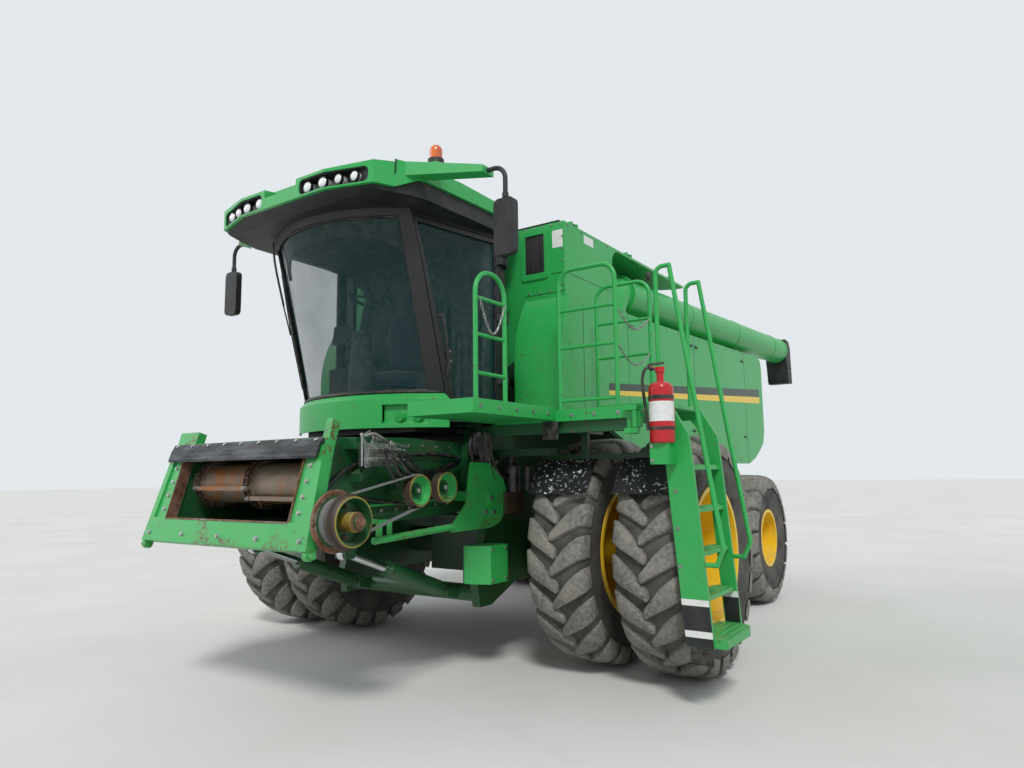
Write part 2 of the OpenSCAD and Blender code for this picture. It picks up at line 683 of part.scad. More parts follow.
column_y = -1540;
hub_y = -1445;
hub_z = 3195;
module steering_column() color(black) placed() {
    translate([0, column_y, floor_z]) rotate_extrude()
        polygon([[0, 0], [125, 0], [120, 200], [90, 620], [75, 760], [0, 780]]);
    rod([0, column_y, floor_z + 720], [0, hub_y, hub_z], 70);
    translate([0, hub_y, hub_z]) rotate([-18, 0, 0]) {
        rotate_extrude() translate([185, 0]) circle(d = 28);
        for (a = [0, 120, 240]) rotate([0, 0, a]) block([-12, 0, -6], [12, 185, 6]);
    }
}

module mirrors() color(black) placed() both_sides() {
    bent([[wing_x + seat_gap, -1695, 3903], [1640, -1695, 3903], [1640, -1695, 3640]], 36, 100);
    along(rounded([1550, 3215], [1730, 3645], 45), -1725, -1665);
}

module platform() color(green) placed() {
    landing = floor_z + 40;
    block([cab_rear_x + 15, -2060, landing - 100], [1610, deck_y - 10, landing]);
    block([cab_rear_x + 15, deck_y - 10, deck_z - 90], [side_x, core_y - 10, deck_z]);
    block([side_x, deck_y, deck_z - 90], [deck_out, deck_y + deck_w, deck_z]);
    difference() {
        union() for (z = [deck_z - 40, deck_z - 210]) block([deck_out - 60, hinge_y - 25, z], [hinge_x + 25, deck_y, z + 40]);
        translate([hinge_x, hinge_y, 1800]) cylinder(h = 500, d = 40 + 2 * pin_gap);
    }
    block([deck_out - 60, deck_y, deck_z - 210], [deck_out, deck_y + 30, deck_z - 90]);
}

module hoop(a, b, top, r, rungs) {
    bent([a, [a[0], a[1], top], [b[0], b[1], top], b], rail_d, r);
    for (z = rungs) rod([a[0], a[1], z], [b[0], b[1], z], rail_d * 0.8);
}

module platform_rails() color(green) placed() {
    landing = floor_z + 40 + seat_gap;
    hoop([1580, -1990, landing], [1580, -1640, landing], 3057, 160, [2330, 2600, 2860]);
    for (y = [deck_y + 25, deck_y + deck_w - 25])
        hoop([1650, y, deck_z + seat_gap], [2150, y, deck_z + seat_gap], 3250, 120, [2200, 2620, 2920]);
}

ladder_y0 = deck_y + 20;
ladder_y1 = deck_y + deck_w - 40;
foot_z = 450;
head = [[2480, deck_z - 90], [deck_out + 10, deck_z - 90], [deck_out + 10, deck_z], [2560, deck_z], [2690, 1900],
    [2714, 1660], [2809, foot_z]];
front_stringer = concat(head, [[2617, foot_z], [2515, 1660]]);
rear_stringer = concat(head, [[2690, foot_z], [2600, 1660], [2590, 1900]]);

module ladder() color(green) placed() {
    along(front_stringer, ladder_y0, ladder_y0 + 30);
    along(rear_stringer, ladder_y1 - 30, ladder_y1);
    block([deck_out + 10, ladder_y0 + 30, deck_z - 30], [2560, ladder_y1 - 30, deck_z]);
    for (i = [0:steps - 1]) {
        z = foot_z + i * (deck_z - foot_z) / (steps + 0.6);
        x = 2620 - (z - foot_z) * 0.0414;
        block([x, ladder_y0 + 30, z], [2790 - (z - foot_z) * 0.08, ladder_y1 - 30, z + 30]);
    }
    // Lowest tread, rounded at its outer corner, and the box that carries the extinguisher
    upward(concat([[2620, ladder_y0 + 20], [2895, ladder_y0 + 20]], arc([2775, ladder_y1 - 120], 120, 0, 90, 8),
        [[2620, ladder_y1]]), foot_z, foot_z + 60);
    block([2460, ladder_y0 - 150, 1690], [2600, ladder_y0 + 5, 1840 - seat_gap]);
    translate([hinge_x, hinge_y, deck_z - 165]) cylinder(h = 120, d = 50);
    block([hinge_x - 10, hinge_y, deck_z - 165], [hinge_x + 40, ladder_y0, deck_z - 45]);
    translate([hinge_x, hinge_y, deck_z - 215]) cylinder(h = 220, d = 40);
}

rail_foot_z = 1000;
module ladder_rails() color(green) placed() {
    for (y = [ladder_y0 + 15, ladder_y1 - 15])
        bent([[2480, y, deck_z + seat_gap], [2480, y, 3150], [2590, y, 3150],
            [elbow_x, y, 1110], [2850, y, rail_foot_z], [2768, y, rail_foot_z]], rail_d, 60);
}

module extinguisher() color("red") placed() translate([2538, ladder_y0 - 100, 1840]) {
    rotate_extrude() polygon(concat([[0, 0], [84, 0], [88, 12]], arc([38, 380], 50, 0, 80, 5),
        [[26, 440], [26, 500], [34, 500], [34, 540], [0, 540]]));
    block([-60, 60, 100], [60, 100 - seat_gap, 260]);
    rod([0, 0, 515], [-70, -50, 545], 18);
}

// Depth along the machine of the mounting face's plane at height z, set back by t
function face_at(z, t) = face_y + t / cos(face_lean) + (z - face_z) * tan(face_lean);

module on_face() translate([0, face_y, face_z]) rotate([-face_lean, 0, 0]) children();

face_t = 90;
// Depth by which the mouth's sides and top stand back from the mounting face
face_step = 14;
// Height of the latch pins, which hang below the face's foot
latch_h = -20;
shell_t = 30;
arm_x = feeder_x + 110;
module feeder_house() color(green) placed() {
    outer = [[face_at(1260, face_t) + seat_gap, 1260], [face_at(1900, face_t) + seat_gap, 1900], [-1800, 1920],
        [-1000, 1900], [-850, 1860], [-850, 1340]];
    difference() {
        across(outer, -feeder_x, feeder_x);
        across([[-3000, 1290], [-3000, 1850], [-1800, 1890], [-1000, 1870], [-800, 1840], [-800, 1370]],
            -feeder_x + shell_t, feeder_x - shell_t);
    }
    both_sides() axle(feeder_x, frame_x + 20, lift_y, lift_z, trunnion_d);
    // Arms that carry the coupler, and a stiffening rib along each side
    across([[-2395, 1820], [-2395, 1900], [-2325, 1900], [-2325, 1820]], feeder_x - 1, arm_x);
    across([[-2350, 1590], [-2350, 1650], [-2150, 1770], [-2150, 1710]], feeder_x - 1, arm_x);
    both_sides() across([[-2560, 1330], [-2560, 1350], [-1200, 1400], [-1200, 1380]], feeder_x - 1, feeder_x + 18);
    both_sides() {
        for (x = [cyl_x - 56, cyl_x + 36])
            across([[rod_eye_y - 120, 1300], [rod_eye_y + 120, 1300], [rod_eye_y + 40, rod_eye_z - 40],
                [rod_eye_y - 40, rod_eye_z - 40]], x, x + 20);
        axle(cyl_x - 50, cyl_x + 50, rod_eye_y, rod_eye_z, 50);
    }
}

module feeder_face() color(green) placed() {
    on_face() difference() {
        along([[-936, 0], [936, 0], [864, 750], [-864, 750]], 0, face_t);
        block([-mouth_w / 2, -1, 176], [mouth_w / 2, face_t + 1, 700]);
        both_sides() along([[mouth_w / 2 - 1, 176], [862, 176], [812, 700], [mouth_w / 2 - 1, 700]], -1, face_step);
        block([-900, -1, 695], [900, face_step, 760]);
    }
    // Hooks for the header's top beam, and the latch pins on their bosses
    on_face() block([-879, 20, 700], [-638, face_t, 850]);
    on_face() along(concat([[806, 690]], arc([838, 860], 32, 180, 0, 8), [[870, 690]]), 25, face_t);
    both_sides() on_face() {
        block([896, 12, latch_h], [930, 78, 30]);
        axle(896, 936, 45, latch_h, 66);
        axle(930, 972, 45, latch_h, latch_d);
    }
}

drum_y = -2470;
drum_z = 1590;
module feeder_conveyor() color(rust) placed() {
    axle(-feeder_x + shell_t + seat_gap, feeder_x - shell_t - seat_gap, drum_y, drum_z, 290);
    // Slats, each from one chain to the next
    block([-622, drum_y - 195, 1540], [22, drum_y - 166, 1572]);
    block([-22, drum_y - 162, 1468], [622, drum_y - 128, 1498]);
    for (x = [-600, 0, 600]) difference() {
        across(concat(arc([drum_y, drum_z], 170, 90, 270, 12), arc([-1200, 1630], 150, -90, 90, 12)), x - 22, x + 22);
        across(concat(arc([drum_y, drum_z], 145.2, 90, 270, 12), arc([-1200, 1630], 125, -90, 90, 12)), x - 30, x + 30);
    }
}

flap_x = 852;
module feeder_flap() color(black) placed() on_face()
    across([[face_step - seat_gap, 738], [-14, 738], [-30, 680], [-34, 610], [-26, 596], [-18, 612], [-16, 676],
        [-4, 704], [face_step - seat_gap, 704]], -flap_x, flap_x);

drive_y = -2690;
drive_z = 1350;
idler_r = 112;
idlers = [[-1962, 1524], [-1660, 1541]];
belt_x = [1004, 1044];

module feeder_drive() color(rust) placed() {
    axle(feeder_x, 985, drive_y, drive_z, 60);
    axle(925, 985, drive_y, drive_z, 120);
    turned([[0, 980], [195, 980], [200, 990], [195, 1000], [groove_r, 1003], [groove_r, 1045], [176, 1092], [176, 1104],
        [158, 1110], [158, 1160], [146, 1160], [126, 1070], [62, 1066], [62, 1190], [40, 1190], [40, 1205], [0, 1205]],
        drive_y, drive_z);
    for (idler = idlers) {
        axle(feeder_x, 990, idler[0], idler[1], 60);
        turned([[0, 985], [idler_r, 985], [idler_r, 1062], [idler_r - 9, 1062], [idler_r - 24, 1015], [28, 1012],
            [28, 1045], [0, 1045]], idler[0], idler[1]);
    }
}

groove_r = 142;
belt_t = 9;
belt_rise = atan2(idlers[0][1] - drive_z, idlers[0][0] - drive_y);
// Loop of the belt round the drive and the first idler, at distance t from both
function belt_loop(t) = concat(arc([drive_y, drive_z], groove_r + t, belt_rise + 90, belt_rise + 270, 32),
    arc(idlers[0], idler_r + t, belt_rise - 90, belt_rise + 90, 32));

module drive_belt() color(black) placed() difference() {
    across(belt_loop(belt_t), belt_x[0], belt_x[1]);
    across(belt_loop(0.5), belt_x[0] - 1, belt_x[1] + 1);
}

guard_x = 960;
module feeder_guard() color(green) placed() {
    across(concat([[-1519, 1195], [-1469, 1280], [-1323, 1413], [-1300, 1569], [-1267, 1733], [-1008, 1728]],
        arc([-1010, 1440], 245, 40, -60, 10), [[-1000, 1198]]), guard_x, guard_x + 15);
    rod([guard_x + 7, -2330, 1197], [guard_x + 7, -1484, 1237], 50);
    block([guard_x, -2305, 1205], [guard_x + 14, -2255, 1330]);
    block([feeder_x, -1190, 1420], [guard_x, -1150, 1500]);
    block([feeder_x, -2200, 1300], [guard_x + 14, -2160, 1330]);
    block([guard_x, -2200, 1200], [guard_x + 14, -2160, 1305]);
}

// Hydraulic coupler with its lever and sockets
module coupler_block() color(steel) placed() {
    block([arm_x, -2370, 1700], [arm_x + 60, -2050, 1860]);
    for (y = [-2310:70:-2100], z = [1745, 1810]) axle(arm_x + 55, arm_x + 100, y, z, 42);
    rod([arm_x + 30, -2330, 1850], [arm_x + 30, -2372, 1918], 24);
    rod([arm_x + 30, -2372, 1918], [arm_x + 30, -1905, 1840], 22);
}

rod_eye_y = -2170;
rod_eye_z = 1080;
cyl_way = unit([0, rod_eye_y - barrel_y, rod_eye_z - barrel_z]);
cyl_len = norm([0, rod_eye_y - barrel_y, rod_eye_z - barrel_z]);

module lift_barrel() {
    a = [cyl_x, barrel_y, barrel_z];
    axle(cyl_x - 65, cyl_x + 65, barrel_y, barrel_z, 50);
    axle(cyl_x - 35, cyl_x + 35, barrel_y, barrel_z, 90);
    difference() {
        union() {
            rod(a, a + cyl_way * 120, 66);
            rod(a + cyl_way * 110, a + cyl_way * 760, 130);
        }
        rod(a + cyl_way * 200, a + cyl_way * 770, 60 + 2 * pin_gap);
    }
}

module lift_rod() {
    a = [cyl_x, barrel_y, barrel_z];
    rod(a + cyl_way * 580, a + cyl_way * (cyl_len - 40), 60);
    difference() {
        axle(cyl_x - 30, cyl_x + 30, rod_eye_y, rod_eye_z, 110);
        axle(cyl_x - 31, cyl_x + 31, rod_eye_y, rod_eye_z, 76);
    }
}

// Direction of the unloading tube
module on_swing() translate([swing_x, swing_y, swing_z]) rotate([swing_rise, 0, -swing_out]) children();

module unloading_tube() color(green) placed() {
    translate([swing_x, swing_y, swing_z - 230]) rotate([0, 0, -swing_out]) {
        rotate([0, 0, 90]) translate([230, 0, 0]) rotate([90, 0, 0]) mirror([1, 0, 0])
            rotate_extrude(angle = 90) translate([230, 0]) circle(d = tube_d);
    }
    on_swing() {
        translate([0, 212, 0]) rotate([-90, 0, 0]) cylinder(h = 44, d = tube_d + 60);
        translate([0, 240, 0]) rotate([-90, 0, 0]) cylinder(h = tube_l - 240, d = tube_d);
    }
}

module unloading_spout() color(black) placed() on_swing() translate([0, tube_l + seat_gap, 0])
    across([[0, -180], [0, 180], [180, 160], [255, 60], [255, -560], [60, -560], [20, -300]], -170, 170);

main_frame();
front_axle();
threshing_body();
cleaning_shoe();
straw_chopper();
rear_axle();
tie_rod();
engine();
engine_deck();
rotary_screen();
exhaust();
rear_hood();
color(green) placed() side_shield(0);  // side_shield_left
color(green) placed() side_shield(1);  // side_shield_right
front_panels();
grain_tank();
color(black) placed() tank_lid(0);  // tank_lid_left
color(black) placed() tank_lid(1);  // tank_lid_right
tank_window();
cab_frame();
cab_apron();
cab_roof();
roof_liner();
roof_lamps();
beacon();
cab_glass();
cab_door();
door_glass();
driver_seat();
steering_column();
mirrors();
platform();
platform_rails();
ladder();
ladder_rails();
extinguisher();
feeder_house();
feeder_face();
feeder_conveyor();
feeder_flap();
feeder_drive();
drive_belt();
feeder_guard();
coupler_block();
color(green) placed() lift_barrel();  // lift_barrel_left
color(green) placed() mirror([1, 0, 0]) lift_barrel();  // lift_barrel_right
color(steel) placed() lift_rod();  // lift_rod_left
color(steel) placed() mirror([1, 0, 0]) lift_rod();  // lift_rod_right
unloading_tube();
unloading_spout();
color(rubber) placed() front_tyres();  // front_tyres_left
color(rubber) placed() mirror([1, 0, 0]) front_tyres();  // front_tyres_right
color(yellow) placed() front_rims();  // front_rims_left
color(yellow) placed() mirror([1, 0, 0]) front_rims();  // front_rims_right
color(green) placed() steering_knuckle();  // steering_knuckle_left
color(green) placed() mirror([1, 0, 0]) steering_knuckle();  // steering_knuckle_right
color(rubber) placed() rear_tyre();  // rear_tyre_left
color(rubber) placed() mirror([1, 0, 0]) rear_tyre();  // rear_tyre_right
color(yellow) placed() rear_rim();  // rear_rim_left
color(yellow) placed() mirror([1, 0, 0]) rear_rim();  // rear_rim_right
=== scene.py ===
"""Finishes and fine detail of a combine harvester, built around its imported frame.

Lengths are in millimetres in the machine's own frame, unless a name says otherwise:
X to the machine's left, Y to its rear, Z up, from the ground under the middle of the front axle.
"""
import json
import random
from math import cos, pi, radians, sin, sqrt, tan

import bmesh
import bpy
from mathutils import Matrix, Vector


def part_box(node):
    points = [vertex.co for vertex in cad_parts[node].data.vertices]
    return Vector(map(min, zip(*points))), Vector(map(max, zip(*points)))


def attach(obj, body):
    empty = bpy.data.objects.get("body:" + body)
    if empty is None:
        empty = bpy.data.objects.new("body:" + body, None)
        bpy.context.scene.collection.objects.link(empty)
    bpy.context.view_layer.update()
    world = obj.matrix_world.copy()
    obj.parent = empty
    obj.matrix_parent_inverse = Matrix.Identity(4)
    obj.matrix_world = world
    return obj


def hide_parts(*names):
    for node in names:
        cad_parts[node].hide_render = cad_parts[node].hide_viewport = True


bl_info = {
    "name": "Combine harvester",
    "version": (1, 0, 0),
    "blender": (4, 5, 0),
    "location": "View3D > Sidebar > Harvester",
    "description": "Dresses the packed frame of a combine harvester with its finishes and fine detail",
    "category": "Object",
}

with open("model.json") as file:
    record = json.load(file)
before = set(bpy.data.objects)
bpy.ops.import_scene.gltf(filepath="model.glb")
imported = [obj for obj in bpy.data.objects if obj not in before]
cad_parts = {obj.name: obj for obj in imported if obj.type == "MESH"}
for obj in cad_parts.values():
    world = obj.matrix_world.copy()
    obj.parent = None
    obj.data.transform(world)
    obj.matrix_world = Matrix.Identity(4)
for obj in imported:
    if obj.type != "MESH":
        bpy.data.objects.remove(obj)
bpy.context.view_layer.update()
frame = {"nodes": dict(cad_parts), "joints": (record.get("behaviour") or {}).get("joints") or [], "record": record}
joints = {joint["name"]: joint for joint in frame["joints"]}

MM = 0.001
left_hub = Vector(joints["front_wheels_left_spin"]["pos_m"])
right_hub = Vector(joints["front_wheels_right_spin"]["pos_m"])
ORIGIN = Vector(((left_hub.x + right_hub.x) / 2, left_hub.y, 0))
FRONT_Z = left_hub.z / MM
rear_hub = Vector(joints["rear_wheel_left_spin"]["pos_m"])
WHEELBASE = (rear_hub.y - left_hub.y) / MM
REAR_Z = rear_hub.z / MM
REAR_X = (rear_hub.x - ORIGIN.x) / MM


def place(x, y, z):
    """A point of the machine's frame, in the scene's metres."""
    return ORIGIN + Vector((x, y, z)) * MM


def new_object(name, data):
    made_object = bpy.data.objects.new(name, data)
    bpy.context.scene.collection.objects.link(made_object)
    return made_object


def reach(node):
    """Lowest and highest corner of a solid, in the machine's frame."""
    low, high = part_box(node)
    return (low - ORIGIN) / MM, (high - ORIGIN) / MM


# Sizes and colours that a user would change


class HarvesterSizes(bpy.types.PropertyGroup):
    lug_pairs: bpy.props.IntProperty(
        name="Front lug pairs", description="Lugs on each side of a front tyre", default=22, min=14, max=26)
    rear_lug_pairs: bpy.props.IntProperty(
        name="Rear lug pairs", description="Lugs on each side of a rear tyre", default=16, min=14, max=24)
    lug_height: bpy.props.FloatProperty(
        name="Lug height", description="Height of a tyre lug", default=0.048, unit="LENGTH")
    hose: bpy.props.FloatProperty(
        name="Hose", description="Diameter of a hydraulic hose", default=0.022, unit="LENGTH")
    eye_height: bpy.props.FloatProperty(
        name="Eye height", description="Height of the camera above the ground", default=1.637, unit="LENGTH")


class HarvesterColours(bpy.types.PropertyGroup):
    body: bpy.props.StringProperty(
        name="Body", description="Paint of the body, as sRGB hex", default="#22A04A")
    wheels: bpy.props.StringProperty(
        name="Wheels", description="Paint of the rims, as sRGB hex", default="#F0C419")
    rubber: bpy.props.StringProperty(
        name="Tyres", description="Tyre rubber, as sRGB hex", default="#1D1D1C")
    floor: bpy.props.StringProperty(
        name="Floor", description="Studio floor, as sRGB hex", default="#D9D8D5")


def sizes():
    return bpy.context.scene.harvester_sizes


def colours():
    return bpy.context.scene.harvester_colours


# Materials

# Weight and roughness of a clear coat
NO_COAT, SOFT_COAT, GLOSSY_COAT = (0.0, 0.03), (0.15, 0.25), (1.0, 0.03)


def linear(text):
    """An sRGB hex value as linear red, green, blue and alpha."""
    parts = [int(text[i:i + 2], 16) / 255 for i in (1, 3, 5)]
    return (*[c / 12.92 if c <= 0.04045 else ((c + 0.055) / 1.055) ** 2.4 for c in parts], 1.0)


def add(tree, kind, inputs=None, **settings):
    """Adds a node: settings are its properties, inputs its values, sRGB hex colours or sockets to link."""
    node = tree.nodes.new(kind)
    for key, value in settings.items():
        setattr(node, key, value)
    for key, value in (inputs or {}).items():
        if isinstance(value, bpy.types.NodeSocket):
            tree.links.new(value, node.inputs[key])
        else:
            node.inputs[key].default_value = linear(value) if isinstance(value, str) else value
    return node


def new_material(name, roughness=0.5, metallic=0.0, ior=1.5, coat=NO_COAT):
    """An empty material with its shader's own values; returns the material, its tree and the shader."""
    material = bpy.data.materials.new(name)
    material.use_nodes = True
    tree = material.node_tree
    shader = tree.nodes["Principled BSDF"]
    values = {"Roughness": roughness, "Metallic": metallic, "Coat Weight": coat[0], "Coat Roughness": coat[1]}
    if not metallic:
        values["IOR"] = ior
    for key, value in values.items():
        shader.inputs[key].default_value = value
    return material, tree, shader


def feed(tree, shader, colour, normal=None):
    """Links a colour, and a normal where there is one, to the shader."""
    tree.links.new(colour, shader.inputs["Base Color"])
    if normal is not None:
        tree.links.new(normal, shader.inputs["Normal"])


def position(tree):
    """Where a point of the surface lies, in metres."""
    return add(tree, "ShaderNodeTexCoord").outputs["Object"]


def height(tree, vector):
    return add(tree, "ShaderNodeSeparateXYZ", {0: vector}).outputs["Z"]


def rise(tree, value, low, high, share=1.0):
    """A factor that goes from 0 where value is low to share where it is high."""
    return add(tree, "ShaderNodeMapRange", {
        "Value": value, "From Min": low, "From Max": high, "To Max": share}).outputs["Result"]


def spots(tree, size_mm, low, high, share=1.0, detail=6, stretch=(1, 1, 1)):
    """Noise with features of about size_mm, as a factor that rises over low to high from 0 to share."""
    mapping = add(tree, "ShaderNodeMapping", {"Vector": position(tree), "Scale": stretch})
    noise = add(tree, "ShaderNodeTexNoise", {
        "Vector": mapping.outputs["Vector"], "Scale": 1000 / size_mm, "Detail": detail, "Roughness": 0.6})
    return rise(tree, noise.outputs["Fac"], low, high, share)


def cells(tree, pitch_mm):
    """Distance from the nearest point of a square grid, in its pitches."""
    return add(tree, "ShaderNodeTexVoronoi", {
        "Vector": position(tree), "Scale": 1000 / pitch_mm, "Randomness": 0.0}).outputs["Distance"]


def times(tree, a, b):
    return add(tree, "ShaderNodeMath", {0: a, 1: b}, operation="MULTIPLY").outputs[0]


def over(tree, below, above, factor):
    """Colour above laid over colour below by a factor."""
    return add(tree, "ShaderNodeMix", {0: factor, 6: below, 7: above}, data_type="RGBA").outputs[2]


def rounded_normal(tree, radius_mm):
    """Normal that rounds sharp sheet edges over radius_mm, so that they catch the light."""
    return add(tree, "ShaderNodeBevel", {"Radius": radius_mm * MM}, samples=4).outputs["Normal"]


def relief(tree, raised, depth_mm, normal=None, strength=0.6):
    inputs = {"Height": raised, "Distance": depth_mm * MM, "Strength": strength}
    if normal is not None:
        inputs["Normal"] = normal
    return add(tree, "ShaderNodeBump", inputs).outputs["Normal"]


def grain(tree, normal, size_mm, depth_mm, detail, strength=0.6, stretch=(1, 1, 1)):
    """Normal with a relief of grains of about size_mm laid over it."""
    return relief(tree, spots(tree, size_mm, 0.3, 0.7, 1.0, detail, stretch), depth_mm, normal, strength)


def layered(name, base, layers, roughness, metallic=0.0, ior=1.5, coat=NO_COAT, grained=None, edge_mm=0.0):
    """A base colour with spots of other colours over it: each layer is its colour and what spots takes.
    grained is what grain takes after the normal; edge_mm rounds the edges."""
    material, tree, shader = new_material(name, roughness, metallic, ior, coat)
    colour = base
    for above, *spot in layers:
        colour = over(tree, colour, above, spots(tree, *spot))
    normal = rounded_normal(tree, edge_mm) if edge_mm else None
    if grained:
        normal = grain(tree, normal, *grained)
    feed(tree, shader, colour, normal)
    return material


def painted_steel(name, colour, roughness=0.42, dust=0.2, wear=0.0):
    """Sheet steel with sprayed and baked enamel: a soft gloss with slight orange peel, dulled by field dust
    on ledges and low panels, and, where wear is set, with small chips of rust at random."""
    material, tree, shader = new_material(name, roughness, coat=SOFT_COAT)
    sun_bleached = "#6FBF8C" if colour == colours().body else colour
    faded = over(tree, colour, sun_bleached, spots(tree, 900, 0.45, 0.85, 0.15))
    dusty = spots(tree, 120, 0.35, 0.75, dust)
    facing_up = rise(tree, height(tree, add(tree, "ShaderNodeNewGeometry").outputs["Normal"]), 0.55, 0.95)
    ledge = over(tree, faded, "#A99F8C", times(tree, facing_up, dusty))
    near_ground = rise(tree, height(tree, position(tree)), 2.0, 0.3, 0.6)
    surface = over(tree, ledge, "#8C8373", times(tree, near_ground, dusty))
    if wear:
        chips = spots(tree, 26, 0.60 - 0.14 * wear, 0.66 - 0.10 * wear, 0.9, 9)
        surface = over(tree, surface, "#5A3524", times(tree, chips, spots(tree, 260, 0.50, 0.62)))
    feed(tree, shader, surface, grain(tree, rounded_normal(tree, 5), 2.5, 0.05, 2, 0.25))
    return material


def plain_rubber(name, colour, roughness):
    """Moulded or extruded rubber in one colour, with a film of dust."""
    return layered(name, colour, [("#8B857A", 60, 0.42, 0.8, 0.35)], roughness, ior=1.52)


def printed_film(name, colour, roughness=0.35):
    """Printed vinyl film, left blank, with a little dirt at random."""
    return layered(name, colour, [("#6D675C", 45, 0.5, 0.8, 0.35)], roughness, ior=1.46)


def tinted_glass():
    """Laminated cab glass, float made: green tint deepened to dark teal, partly a painted reflection, with sharp
    reflections and a film of dust.
    """
    material, tree, shader = new_material("laminated float glass, tinted", 0.03, ior=1.52)
    # Dark teal: the glass's green tint, partly a painted reflection
    shader.inputs["Base Color"].default_value = linear("#13464B")
    dust = spots(tree, 400, 0.35, 0.85, 0.08)
    alpha = add(tree, "ShaderNodeMath", {0: dust, 1: 0.20}, operation="ADD")
    tree.links.new(alpha.outputs[0], shader.inputs["Alpha"])
    return material


def lamp_lens():
    """Polycarbonate lamp lens over a bright reflector, ribbed: its near white is a painted reflection of the
    reflector.
    """
    material, tree, shader = new_material("polycarbonate lens, clear", 0.12, ior=1.58, coat=GLOSSY_COAT)
    ribs = add(tree, "ShaderNodeTexWave", {"Vector": position(tree), "Scale": 40.0}, bands_direction="X")
    # Near white: painted reflection of the reflector behind the lens, banded darker along the ribs
    feed(tree, shader, over(tree, "#F4F6F7", "#AEB6BC", times(tree, ribs.outputs["Fac"], 0.5)))
    return material


def woven_fabric():
    """Woven seat cloth, threads about 1 mm, drawn at 6 mm so that they show."""
    material, tree, shader = new_material("woven polyester seat cloth", 0.9)
    weave = add(tree, "ShaderNodeTexChecker", {"Vector": position(tree), "Scale": 1000 / 6})
    feed(tree, shader, over(tree, "#24272A", "#3C4145", weave.outputs["Fac"]))
    shader.inputs["Sheen Weight"].default_value = 0.3
    return material


def perforated_sheet():
    """Punched steel screen: 8 mm holes in black paint, drawn at 24 mm so that they show."""
    material, tree, shader = new_material("punched steel screen, black", 0.5, 0.4)
    feed(tree, shader, over(tree, "#050505", "#2B2C2E", rise(tree, cells(tree, 24), 0.30, 0.36)))
    return material


def grip_paint():
    """Pressed walkway sheet, enamelled green: round bosses every 40 mm, worn and dusty."""
    material, tree, shader = new_material("baked enamel on pressed tread sheet, green", 0.45)
    boss = rise(tree, cells(tree, 40), 0.38, 0.28)
    worn = over(tree, colours().body, "#8F9088", times(tree, boss, 0.55))
    feed(tree, shader, over(tree, worn, "#A99F8C", spots(tree, 130, 0.35, 0.75, 0.5)), relief(tree, boss, 3))
    return material


def bristle_mat():
    """Coarse black recycled-rubber mat, pitted, with near-white specks that are painted glints of light."""
    material, tree, shader = new_material("bonded crumb-rubber mat, black", 0.7, ior=1.52)
    # Near-white specks: painted glints
    painted_glints = times(tree, spots(tree, 26, 0.60, 0.64, detail=2), spots(tree, 240, 0.42, 0.6, detail=2))
    feed(tree, shader, over(tree, "#050607", "#C9CFD2", painted_glints))
    return material


